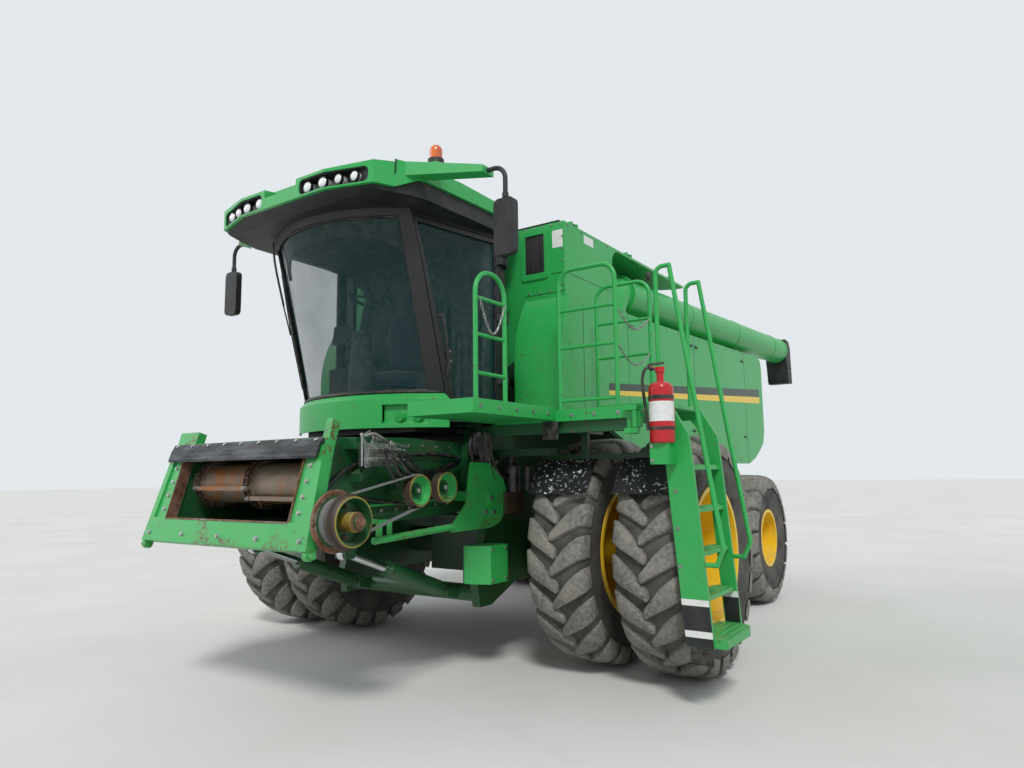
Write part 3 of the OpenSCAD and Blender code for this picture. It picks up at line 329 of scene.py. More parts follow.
MATERIALS = {
    "green_paint": lambda: painted_steel("baked enamel on sheet steel, green", colours().body, wear=0.15),
    "worn_green": lambda: painted_steel(
        "baked enamel on steel plate, green, worn", colours().body, 0.45, 0.5, 1.0),
    # Green darkened to stand for shade: painted shade on the feeder house, feeder drive, main frame, lift barrels
    # and a ring on each pulley
    "shade_darkened_green": lambda: painted_steel(
        "baked enamel on steel plate, green, oily", "#12502A", 0.45, 0.2, 0.5),
    # Very dark green: painted shade on the threshing body, cleaning shoe and front axle; elsewhere dark seams and
    # small dark parts
    "dark_green_and_painted_shade": lambda: painted_steel(
        "baked enamel in the folds of sheet steel, dark", "#0C3319", 0.5, 0.1),
    "yellow_paint": lambda: painted_steel(
        "baked enamel on pressed rims, yellow", colours().wheels, 0.4, 0.6),
    "worn_yellow": lambda: painted_steel("enamel on cast iron, yellow, worn", "#9C8930", 0.5, 0.5, 1.9),
    "black_paint": lambda: painted_steel("baked enamel on steel tube, black", "#121315", 0.42, 0.15),
    "red_paint": lambda: painted_steel("enamel on drawn steel, red", "#B5121B", 0.25, 0.2),
    "chain_steel": lambda: painted_steel(
        "hardened chain steel, oiled and rusted", "#3A2D25", 0.6, 0.3, 0.8),
    # Tyre casing, moulded rubber: near black between the lugs, with brown dust on the wall
    "tyre_rubber": lambda: layered(
        "vulcanised tyre rubber, casing", colours().rubber,
        [("#55534F", 170, 0.35, 0.75, 1.0, 8), ("#77716A", 420, 0.42, 0.70, 0.5, 8)],
        0.85, ior=1.52, grained=(14, 0.8, 8)),
    # Tyre lugs, moulded rubber worn smooth by the road: mid grey with clay dust and stone cuts
    "lug_rubber": lambda: layered(
        "vulcanised tyre rubber, worn lugs", "#565551",
        [("#8A8780", 30, 0.35, 0.70, 1.0, 9), ("#99938A", 300, 0.42, 0.70, 0.6, 8),
         ("#2A2A29", 16, 0.60, 0.68, 0.8)],
        0.8, ior=1.52, grained=(16, 1.2, 8), edge_mm=6),
    # Extruded rubber sheet: dull black with pale creases
    "flap_rubber": lambda: layered(
        "extruded rubber sheet", "#1C1F22", [("#6E7478", 300, 0.45, 0.75, 0.7, 4, (1, 4, 4))],
        0.62, ior=1.52, grained=(180, 5, 4, 0.6, (1, 5, 5))),
    "belt_rubber": lambda: plain_rubber("cord-reinforced belt rubber, grey", "#6F7270", 0.7),
    "hose_rubber": lambda: plain_rubber("extruded hose rubber, black", "#121314", 0.4),
    "sealing_rubber": lambda: plain_rubber("extruded sealing rubber, black", "#0D0E0F", 0.5),
    "dark_lining": lambda: plain_rubber("moulded cab lining, dark green-grey", "#26302B", 0.75),
    # Black polypropylene, injection moulded with a fine grain: matt, with a little dust
    "black_plastic": lambda: layered(
        "moulded polypropylene, black", "#17181A", [("#5B5952", 160, 0.4, 0.8, 0.30)],
        0.55, ior=1.49, grained=(4, 0.15, 2, 0.4), edge_mm=4),
    # Moulded amber acrylic: deep orange, glossy, ribbed by its lens
    "amber_plastic": lambda: layered(
        "moulded acrylic, amber", "#F07A12", [("#B4480A", 60, 0.4, 0.6, 1.0, 2, (1, 1, 0.1))],
        0.15, ior=1.49, coat=GLOSSY_COAT),
    # Zinc-plated fittings: pale grey metal, blotched by handling
    "bare_steel": lambda: layered(
        "zinc-plated steel", "#A9ABA8", [("#5E5A52", 50, 0.42, 0.75, 0.8)], 0.42, 1.0, edge_mm=2),
    # Hot-rolled steel worn bright by crop and rusted again: brown, patchy, rough
    "rusty_steel": lambda: layered(
        "rusted hot-rolled steel", "#5B3A29",
        [("#93705A", 90, 0.35, 0.70, 1.0, 9), ("#8E8780", 160, 0.55, 0.66, 0.8, 9, (0.4, 1, 1)),
         ("#2A1C15", 40, 0.56, 0.68, 0.8, 9)],
        0.72, 0.35, grained=(12, 0.8, 9)),
    # Rolled drum sheet polished by crop and rusted in patches: grey-tan with orange blotches
    "drum_steel": lambda: layered(
        "rolled steel sheet, crop-polished and rusted", "#8F8070",
        [("#6B5D4E", 120, 0.35, 0.7, 1.0, 8, (0.5, 1, 1)), ("#A3602C", 230, 0.50, 0.62, 0.85, 9)],
        0.55, 0.3, grained=(10, 0.5, 9)),
    # Hard-chromed and ground cylinder rod: a mirror, with fine dust
    "chromed_rod": lambda: layered(
        "hard chrome, ground", "#D6D9DA", [("#8E897F", 90, 0.5, 0.8, 0.4)], 0.12, 1.0),
    "white_film": lambda: printed_film("printed vinyl film, white", "#DDDEDA"),
    "yellow_film": lambda: printed_film("printed vinyl film, yellow", "#E9C63A"),
    "dark_film": lambda: printed_film("printed vinyl film, dark green", "#14351F"),
    "red_film": lambda: printed_film("retroreflective film, red", "#C01F1F", 0.2),
    # Silvered mirror glass
    "mirror_glass": lambda: new_material("silvered float glass", 0.02, 1.0)[0],
    "tinted_glass": tinted_glass,
    "lamp_glass": lamp_lens,
    "seat_fabric": woven_fabric,
    "perforated_sheet": perforated_sheet,
    "grip_paint": grip_paint,
    "bristle_mat": bristle_mat,
}
made = {}


def finish(name):
    if name not in made:
        made[name] = MATERIALS[name]()
    return made[name]


# Meshes


def turns(count, start=0.0):
    """Angles of a full turn in count steps, in radians."""
    return [start + 2 * pi * k / count for k in range(count)]


def corners(one, other):
    """Lowest and highest coordinate on each axis, of two opposite corners of a box."""
    return [sorted(pair) for pair in zip(one, other)]


class Form:
    """A mesh in the making, in the machine's frame, whose faces take the finish set last."""

    def __init__(self, name):
        self.mesh = bmesh.new()
        self.finishes = []
        self.use(name)

    def use(self, name):
        if name not in self.finishes:
            self.finishes.append(name)
        self.current = self.finishes.index(name)
        return self

    def skin(self, rings, capped=True):
        """Faces between closed rings of points; capped fills the first and the last."""
        rows = [[self.mesh.verts.new(place(*p)) for p in ring] for ring in rings]
        count = len(rows[0])
        faces = [(a[i], a[(i + 1) % count], b[(i + 1) % count], b[i])
                 for a, b in zip(rows, rows[1:]) for i in range(count)]
        if capped:
            faces += [rows[0][::-1], rows[-1]]
        for vertices in faces:
            self.mesh.faces.new(vertices).material_index = self.current

    def box(self, one, other):
        (a, d), (b, e), (c, f) = corners(one, other)
        self.skin([[(a, b, z), (d, b, z), (d, e, z), (a, e, z)] for z in (c, f)])

    def tube(self, points, diameter, sides=10, capped=True):
        """Round bar along points, its rings turned without twist."""
        path = [Vector(p) for p in points]
        way = (path[1] - path[0]).normalized()
        side = way.orthogonal().normalized()
        rings = []
        for i, point in enumerate(path):
            ahead = (path[min(i + 1, len(path) - 1)] - path[max(i - 1, 0)]).normalized()
            side = (side - ahead * side.dot(ahead)).normalized()
            other = ahead.cross(side)
            rings.append([point + (side * cos(t) + other * sin(t)) * diameter / 2
                          for t in turns(sides)])
        self.skin(rings, capped)

    def lathe(self, profile, centre, axis, steps=48, capped=False):
        """Profile of (along, radius) points turned about an axis through centre."""
        axis = Vector(axis).normalized()
        side = axis.orthogonal().normalized()
        other = axis.cross(side)
        self.skin([[Vector(centre) + axis * along + (side * cos(t) + other * sin(t)) * radius
                    for t in turns(steps)] for along, radius in profile], capped)

    def slab(self, outline, shift):
        """Flat plate between an outline and its copy, moved by shift."""
        self.skin([outline, [Vector(p) + Vector(shift) for p in outline]])

    def plate(self, axis, level, outline, thickness):
        """Flat plate square to an axis, 0 to 2, from a level on it; its outline has the other two axes."""
        shift = [0, 0, 0]
        shift[axis] = thickness
        self.slab([(*p[:axis], level, *p[axis:]) for p in outline], shift)

    def bolts(self, places, axis, size, name="bare_steel"):
        """Hexagon heads on their washers, size in millimetres across the flats."""
        self.use(name)
        for centre in places:
            self.lathe([(0, size * 0.85), (size * 0.15, size * 0.85)], centre, axis, 12, capped=True)
            self.lathe([(size * 0.15, size * 0.57), (size * 0.7, size * 0.57)], centre, axis, 6, capped=True)

    def done(self, name, body, replaces=(), smooth=35, bevel=0.0):
        """Turns the form into a piece that rides on a body."""
        bmesh.ops.recalc_face_normals(self.mesh, faces=self.mesh.faces)
        data = bpy.data.meshes.new(name)
        self.mesh.to_mesh(data)
        self.mesh.free()
        piece = new_object(name, data)
        for finish_name in self.finishes:
            data.materials.append(finish(finish_name))
        if bevel:
            rounding = piece.modifiers.new("Rounded edges", "BEVEL")
            rounding.width = bevel * MM
            rounding.segments = 2
            rounding.limit_method = "ANGLE"
        for polygon in data.polygons:
            polygon.use_smooth = True
        data.set_sharp_from_angle(angle=radians(smooth))
        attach(piece, body)
        if replaces:
            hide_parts(*replaces)
        return piece


def curve(points, steps=8):
    """Smooth run of points through the given ones."""
    path = [Vector(p) for p in points]
    path = [path[0] * 2 - path[1], *path, path[-1] * 2 - path[-2]]
    out = []
    for a, b, c, d in zip(path, path[1:], path[2:], path[3:]):
        for k in range(steps):
            t = k / steps
            out.append(0.5 * (b * 2 + (c - a) * t + (a * 2 - b * 5 + c * 4 - d) * t * t
                              + (b * 3 - a - c * 3 + d) * t ** 3))
    return out + [path[-2]]


def circle(centre, radius, count, start=0.0):
    """Points round an X axis through centre."""
    x, y, z = centre
    return [(x, y + radius * sin(t), z + radius * cos(t)) for t in turns(count, start)]


# Wheels

FRONT_BEAD, REAR_BEAD = 533.5, 330
# Width of one dual tyre, as a share of the pair's width over both
ONE_OF_DUALS = 520 / 1282
SIDES = (("left", 1), ("right", -1))

# Stations across a lug, in tyre widths: across, along at its leading and at its trailing edge; then how far
# its top drops and its foot rises, in heights of the tyre's wall
LUG_STATIONS = (
    (-0.056, -0.232, -0.150, 0.03, -0.01), (-0.046, -0.246, -0.126, 0.006, -0.01),
    (-0.02, -0.255, -0.10, 0.0, -0.01), (0.10, -0.185, 0.035, 0.0, -0.01),
    (0.20, -0.13, 0.155, 0.004, -0.012), (0.32, -0.07, 0.26, 0.018, -0.04),
    (0.42, -0.015, 0.335, 0.055, -0.10), (0.487, 0.015, 0.365, 0.13, -0.16),
    (0.512, 0.035, 0.375, 0.26, -0.30))


def tyre(form, x, y, radius, width, bead, lugs, lug, seed):
    """Farm tyre on the ground: a rounded casing, and worn lugs that sweep from the middle to the shoulder."""
    crown = radius - lug
    wall = crown - bead
    half = [(0.43, bead), (0.432, bead + 26), (0.455, bead + 0.14 * wall), (0.485, bead + 0.30 * wall),
            (0.50, bead + 0.48 * wall), (0.497, bead + 0.64 * wall), (0.483, crown - 0.22 * wall),
            (0.455, crown - 0.10 * wall), (0.40, crown - 0.04 * wall), (0.28, crown - 4), (0.12, crown)]
    profile = [(-a * width, r) for a, r in half] + [(a * width, r) for a, r in reversed(half)]
    form.use("tyre_rubber").lathe(profile, (x, y, radius), (1, 0, 0), 72)
    rng = random.Random(seed)
    form.use("lug_rubber")
    edge = 0.034 * width
    for n in range(2 * lugs):
        side = 1 if n % 2 else -1
        offset = pi * crown * n / lugs
        worn = rng.uniform(0, 0.15) * lug
        rings = []
        for across, lead, trail, drop, foot in LUG_STATIONS:
            top = radius - worn - drop * wall
            base = crown + foot * wall
            section = ((lead - 0.012, base), (lead - 0.002, top - edge), (lead + 0.008, top - edge * 0.35),
                       (lead + 0.036, top), (trail - 0.036, top), (trail - 0.008, top - edge * 0.35),
                       (trail + 0.002, top - edge), (trail + 0.018, base))
            turned = [((offset + along * width) / crown, out) for along, out in section]
            rings.append([(x + side * across * width, y + out * sin(t), radius + out * cos(t))
                          for t, out in turned])
        form.skin(rings)


class HARVESTER_OT_tyres(bpy.types.Operator):
    """Makes the six worn tyres in place of their plain solids"""

    bl_idname = "harvester.tyres"
    bl_label = "Tyres"

    def execute(self, context):
        lug = sizes().lug_height / MM
        for name, side in SIDES:
            solid = f"front_tyres_{name}"
            low, high = reach(solid)
            inner, outer = sorted((abs(low.x), abs(high.x)))
            width = (outer - inner) * ONE_OF_DUALS
            form = Form("tyre_rubber")
            for k, x in enumerate((inner + width / 2, outer - width / 2)):
                tyre(form, side * x, 0, FRONT_Z, width, FRONT_BEAD, sizes().lug_pairs, lug, 10 + k)
            form.done(f"tread_front_{name}", f"front_wheels_{name}", [solid], 38)
            solid = f"rear_tyre_{name}"
            low, high = reach(solid)
            form = Form("tyre_rubber")
            lugs = sizes().rear_lug_pairs
            tyre(form, side * REAR_X, WHEELBASE, REAR_Z, high.x - low.x, REAR_BEAD, lugs, lug, 20)
            form.done(f"tread_rear_{name}", f"rear_wheel_{name}", [solid], 38)
        return {"FINISHED"}


# Finishes of the solids that stay

# The darkened greens here are painted shade on the feeder house, feeder drive, main frame, lift barrels, threshing
# body, cleaning shoe and front axle
SOLID_FINISHES = {
    "feeder_face": "worn_green", "feeder_guard": "worn_green", "straw_chopper": "worn_green",
    "steering_column": "dark_lining", "mirrors": "black_plastic", "cab_frame": "black_paint",
    "feeder_conveyor": "drum_steel", "feeder_drive": "shade_darkened_green", "drive_belt": "belt_rubber",
    "roof_liner": "black_plastic", "rotary_screen": "black_paint", "threshing_body": "dark_green_and_painted_shade",
    "cleaning_shoe": "dark_green_and_painted_shade", "feeder_house": "shade_darkened_green", "main_frame": "shade_darkened_green",
    "front_axle": "dark_green_and_painted_shade", "lift_barrel_left": "shade_darkened_green", "lift_barrel_right": "shade_darkened_green",
}


class HARVESTER_OT_solids(bpy.types.Operator):
    """Gives each solid of the frame its finish"""

    bl_idname = "harvester.solids"
    bl_label = "Solids"

    def execute(self, context):
        slots = {part["node"]: part["material_slot"] for part in frame["record"]["subparts"]}
        for node, solid in frame["nodes"].items():
            wanted = finish(SOLID_FINISHES.get(node, slots[node]))
            for material_slot in solid.material_slots:
                material_slot.material = wanted
        return {"FINISHED"}


# Places on the machine: the header face, the windshield, the decks, the body's sides, the unloading tube's
# swing, the feeder's drive and conveyor, the ladder, and the middles of round parts

FACE_FOOT_Y, FACE_FOOT_Z, FACE_LEAN = -2880, 1175, radians(16)
SCREEN_R, SCREEN_Y, SCREEN_Z, SCREEN_LEAN = 1187, -1750, 2300, radians(14.6)
DECK_Z, LANDING_Z = 2130, 2150
SIDE_X, TANK_X, TANK_Y = 1500, 1440, -500
SWING, SWING_RISE, SWING_OUT = (1220, 720, 3490), radians(1.6), radians(1.7)
TUBE_BANDS = (1900, 3600, 5300)
DRIVE = (0, -2690, 1350)
DRUM_Z, CHAIN_R = 1590, 176
IDLERS = ((-1962, 1524), (-1660, 1541))
LADDER_FRONT, LADDER_BACK = -980, -340
STRINGER_FOOT_Z, STRINGER_RISE, STEPS_IN_RISE = 450, 1210, 5.6
# How far films and seams stand off their panel, the grip sheets' top over the deck, and the bands' thickness
PROUD, GRIP_TOP, BAND_THICK = 0.2, 2.5, 1.6
ROTARY_SCREEN = (0, 3000, 2700)
EXTINGUISHER = (2538, -1080, 1840)
LEFT, RIGHT, AHEAD, BACK, UP = (1, 0, 0), (-1, 0, 0), (0, -1, 0), (0, 1, 0), (0, 0, 1)
FACE_OUT = (0, -cos(FACE_LEAN), sin(FACE_LEAN))


def on_face(x, depth, up):
    """A point of the leaning header face: depth behind its front, up it from its foot."""
    return (x, FACE_FOOT_Y + depth * cos(FACE_LEAN) + up * sin(FACE_LEAN),
            FACE_FOOT_Z - depth * sin(FACE_LEAN) + up * cos(FACE_LEAN))


def on_screen(x, z, out):
    """A point of the curved windshield, out millimetres in front of the cab's skin."""
    centre = SCREEN_Y + SCREEN_R - (z - SCREEN_Z) * tan(SCREEN_LEAN)
    return (x, centre - sqrt((SCREEN_R + out) ** 2 - x * x) / cos(SCREEN_LEAN), z)


def on_flank(y, z, out):
    """A point of the cab's left flank, out millimetres off it."""
    return (800 + (y + 1900) * 205 / 1100 + out, y, z)


def on_tube(across, along, up):
    """A point of the unloading tube: along it from its swing axis, across it and above its middle."""
    y, z = (along * cos(SWING_RISE) - up * sin(SWING_RISE),
            along * sin(SWING_RISE) + up * cos(SWING_RISE))
    return (SWING[0] + across * cos(SWING_OUT) + y * sin(SWING_OUT),
            SWING[1] - across * sin(SWING_OUT) + y * cos(SWING_OUT), SWING[2] + z)


def run(where, *points):
    """Points that one of the functions above places."""
    return [where(*point) for point in points]


def face_box(form, one, other):
    (a, d), (b, e), (c, f) = corners(one, other)
    form.skin([run(on_face, (a, b, z), (d, b, z), (d, e, z), (a, e, z)) for z in (c, f)])


def spokes(form, centre, right, up, radii, half, shift, start=0.0):
    """Six flat blades about centre, in the plane of two directions; half is half a blade's thickness."""
    centre, right, up = Vector(centre), Vector(right), Vector(up)
    for t in turns(6, start):
        across = (up * cos(t) - right * sin(t)) * half
        root, tip = (centre + (right * cos(t) + up * sin(t)) * radius for radius in radii)
        form.slab([root - across, tip - across, tip + across, root + across], shift)


class HARVESTER_OT_rims(bpy.types.Operator):
    """Adds bolts, nuts and valves to the rims, and dark discs of painted shade where the hand holes are"""

    bl_idname = "harvester.rims"
    bl_label = "Rims"

    def execute(self, context):
        for name, side in SIDES:
            outward = (side, 0, 0)
            form = Form("bare_steel")
            for x, radius, count, size in ((2134, 190, 10, 32), (2159, 485, 12, 26), (1410, 190, 10, 32)):
                form.bolts(circle((side * x, 0, FRONT_Z), radius, count), outward, size)
            # Dark discs on the rim: painted shade of the hand holes
            form.use("dark_lining")
            for centre in circle((side * 2128.5, 0, FRONT_Z), 275, 6, 0.3):
                form.lathe([(0, 34), (1, 34)], centre, outward, 20, capped=True)
            form.use("hose_rubber")
            form.tube([(side * 2150, 0, FRONT_Z + 500), (side * 2190, 0, FRONT_Z + 470)], 12)
            form.done(f"front_bolts_{name}", f"front_wheels_{name}")
            form = Form("bare_steel")
            disc = (side * (REAR_X + 12.5), WHEELBASE, REAR_Z)
            form.bolts(circle(disc, 165, 10), outward, 30)
            form.bolts(circle((side * (REAR_X + 52), WHEELBASE, REAR_Z), 300, 8), outward, 22)
            # Dark discs on the rim: painted shade of the hand holes
            form.use("dark_lining")
            for centre in circle(disc, 228, 6, 0.26):
                form.lathe([(-0.5, 26), (1, 26)], centre, outward, 20, capped=True)
            form.use("yellow_paint")
            form.lathe([(79, 112), (96, 104), (104, 60), (106, 1)], (side * REAR_X, *disc[1:]), outward, 32)
            form.done(f"rear_bolts_{name}", f"rear_wheel_{name}")
        return {"FINISHED"}


# Feeder


def chain(form, x, points):
    """Roller chain whose pins lie at points: paired plates and a roller at each pin."""
    for k, (a, b) in enumerate(zip(points, points[1:])):
        way = (Vector(b) - Vector(a)).normalized()
        past = way * 9
        half = Vector((0, -way.z, way.y)) * 15
        outline = [Vector(a) - past - half, Vector(b) + past - half,
                   Vector(b) + past + half, Vector(a) - past + half]
        for offset in (12, -17) if k % 2 else (17, -22):
            form.plate(0, x + offset, [p.yz for p in outline], 5)
        form.tube([(x - 24, a[1], a[2]), (x + 24, a[1], a[2])], 20, 8)


class HARVESTER_OT_feeder(bpy.types.Operator):
    """Adds chains, worn lips, bolts and pulley faces to the feeder"""

    bl_idname = "harvester.feeder"
    bl_label = "Feeder"

    def execute(self, context):
        form = Form("rusty_steel")
        face_box(form, (-700, -4, 166), (700, 88, 178))
        for side in (1, -1):
            face_box(form, (side * 699, -2, 178), (side * 706, 86, 698))
        form.use("chain_steel")
        for x in (-600, 0, 600):
            front = [radians(a) for a in range(98, 277, 14)]
            path = [(x, -2240 - 44 * k, DRUM_Z + CHAIN_R) for k in range(5)]
            path += [(x, -2470 + CHAIN_R * cos(a), DRUM_Z + CHAIN_R * sin(a)) for a in front]
            path += [(x, -2430 + 44 * k, DRUM_Z - CHAIN_R) for k in range(5)]
            chain(form, x, path)
        form.bolts([(x, -2665, 1556) for x in (-610, -585, -12, 8)], AHEAD, 18)
        form.bolts([(x, -2632, 1483) for x in (-8, 12, 588, 610)], AHEAD, 18)
        form.bolts([on_face(x, 14, z) for z in range(240, 680, 105) for x in (772, -772)], FACE_OUT, 20)
        form.bolts([on_face(x, 0, 60) for x in (-860, -430, 0, 430, 860)], FACE_OUT, 22)
        form.bolts([on_face(x, -15, 722) for x in range(-800, 801, 200)], FACE_OUT, 18)
        form.use("sealing_rubber")
        for x in (-640, -210, 260, 610):
            face_box(form, (x, -36.5, 640), (x + 150, -33, 644))
        form.done("feeder_lips", "feeder")

        form = Form("rusty_steel")
        for name, steps, profile in (
                ("rusty_steel", 64, ((979, 60), (979, 196), (990, 201), (1001, 196), (1002, 150))),
                ("rusty_steel", 32, ((1191, 62.5), (1191, 20), (1206, 20), (1206, 0.5))),
                ("rusty_steel", 64, ((1020, 141), (1020, 142.8), (1043, 142.8), (1043, 141))),
                ("bare_steel", 64, ((1045, 143), (1091, 177.2))),
                ("chain_steel", 64, ((1091, 177.2), (1105, 177.2), (1111, 159), (1158, 159))),
                ("worn_yellow", 64, ((1158, 159), (1161, 157), (1161, 150))),
                ("shade_darkened_green", 64, ((1161, 150), (1161, 145))),
                ("worn_yellow", 32, ((1067, 63), (1189, 63), (1190, 60)))):
            form.use(name).lathe(profile, DRIVE, LEFT, steps)
        form.bolts(circle((1076, *DRIVE[1:]), 95, 6), LEFT, 22, "chain_steel")
        form.bolts([(1206, *DRIVE[1:])], LEFT, 46, "rusty_steel")
        for y, z in IDLERS:
            for name, steps, profile in (
                    ("chain_steel", 48, ((990, 112.6), (1054, 112.6))),
                    ("worn_yellow", 48, ((1056, 112.8), (1063, 112.8), (1063, 106))),
                    ("shade_darkened_green", 48, ((1063, 106), (1063, 102))),
                    ("worn_green", 48, ((1061, 102.5), (1016, 87), (1015.5, 60))),
                    ("bare_steel", 24, ((1046, 20), (1052, 18), (1056, 9), (1056, 1)))):
                form.use(name).lathe(profile, (0, y, z), LEFT, steps)
        form.done("pulley_faces", "feeder")
        return {"FINISHED"}


class HARVESTER_OT_hoses(bpy.types.Operator):
    """Adds the coupler's levers, fittings and hoses, and the hoses and pipes under the cab"""

    bl_idname = "harvester.hoses"
    bl_label = "Hoses"

    def execute(self, context):
        thick = sizes().hose / MM
        form = Form("bare_steel")
        fittings_y = range(-2310, -2099, 70)
        fittings_z = (1745, 1810)
        for z in fittings_z:
            for y in fittings_y:
                form.lathe([(948, 19), (975, 19), (975, 14), (1000, 14)], (0, y, z), LEFT, 6)
        form.tube(curve([(905, -2372, 1905), (925, -2300, 1925), (930, -2200, 1890), (905, -2120, 1862)]), 20)
        form.tube([(905, -2390, 1700), (905, -2390, 1905), (890, -2300, 1945)], 18)
        form.plate(0, 912, [(-2372, 1690), (-2330, 1690), (-2240, 1900), (-2290, 1925)], 8)
        form.plate(0, 912, [(-2190, 1700), (-2140, 1700), (-2080, 1870), (-2120, 1880)], 8)
        pins = ((-2352, 1712), (-2275, 1890), (-2165, 1722), (-2105, 1850))
        form.bolts([(921, *pin) for pin in pins], LEFT, 24)
        form.use("hose_rubber")
        for k, y in enumerate(fittings_y):
            for j, z in enumerate(fittings_z):
                low = 1590 + 26 * k - 60 * (1 - j)
                form.tube(curve([(990, y, z), (1020, y + 30, z - 10), (1012 - 30 * j, y + 140, low + 60),
                                 (930, -1880 + 30 * k, low), (800 + 14 * k, -1500, 1630 + 18 * k),
                                 (775 + 10 * k, -1180, 1720 + 14 * k)], 6), thick, 8)
        form.tube(curve([(752, -2560, 1560), (760, -2350, 1700), (758, -2000, 1770), (760, -1500, 1800),
                         (765, -1180, 1780)]), 30)
        form.tube(curve([(752, -2440, 1420), (770, -2300, 1480), (760, -2050, 1450), (770, -1700, 1420),
                         (765, -1300, 1500)]), 20)
        form.use("worn_green").tube([(757, -2580, 1380), (757, -2200, 1420), (757, -1250, 1440)], 16)
        form.bolts([(758, y, 1366 + (y + 2500) * 0.036) for y in range(-2500, -1250, 150)], LEFT, 18)
        form.bolts([(740, y, 1860) for y in range(-2540, -1250, 160)], LEFT, 16)
        form.use("worn_green").lathe([(975, 60), (983, 60), (986, 54), (986, 1)], (0, -1010, 1440), LEFT, 32)
        form.bolts([(986, -1010, 1440), (975, -1075, 1330), (975, -960, 1325)], LEFT, 24)
        form.done("feeder_hoses", "feeder")

        form = Form("hose_rubber")
        rng = random.Random(7)
        for k in range(12):
            x, z = 850 + 11 * k, 1990 - rng.uniform(0, 60)
            drop = rng.uniform(180, 520)
            loop = [(x, -1090 + 8 * k, z), (x + 12, -1130 + 14 * k, z - drop * 0.6),
                    (x, -1040 + 20 * k, z - drop), (x - 10, -880 + 24 * k, z - drop * 0.9),
                    (x, -650, z - 150)]
            form.tube(curve(loop, 6), rng.choice((18, 22, 30)), 8)
        # Dark blocks, with the black plate and dark green bar below, fill the space under the cab: partly real
        # fittings, partly painted shade
        form.use("chain_steel")
        form.box((835, -1080, 1560), (935, -840, 1760))
        form.box((835, -820, 1300), (1010, -560, 1480))
        form.use("hose_rubber")
        form.lathe([(1480, 62), (1700, 62), (1712, 50)], (985, -690, 0), UP, 32, capped=True)
        form.lathe([(1490, 48), (1690, 48), (1700, 38)], (1110, -640, 0), UP, 32, capped=True)
        form.bolts([(936, y, z) for y in (-1060, -960, -860) for z in (1585, 1735)], LEFT, 20)
        form.use("black_paint").box((-640, -1560, 1980), (640, -1020, 2035))
        form.use("dark_green_and_painted_shade").box((840, -880, 1780), (1480, -760, 1840))
        cover = [(831, -873), (831, -1177), (900, -1177), (1051, -1111), (1051, -873)]
        form.use("green_paint").plate(2, 759, cover, 302)
        form.bolts([(1051, y, z) for y in (-1080, -900) for z in (790, 1030)], LEFT, 16)
        form.done("hoses_under_cab", "chassis")
        return {"FINISHED"}


# Cab


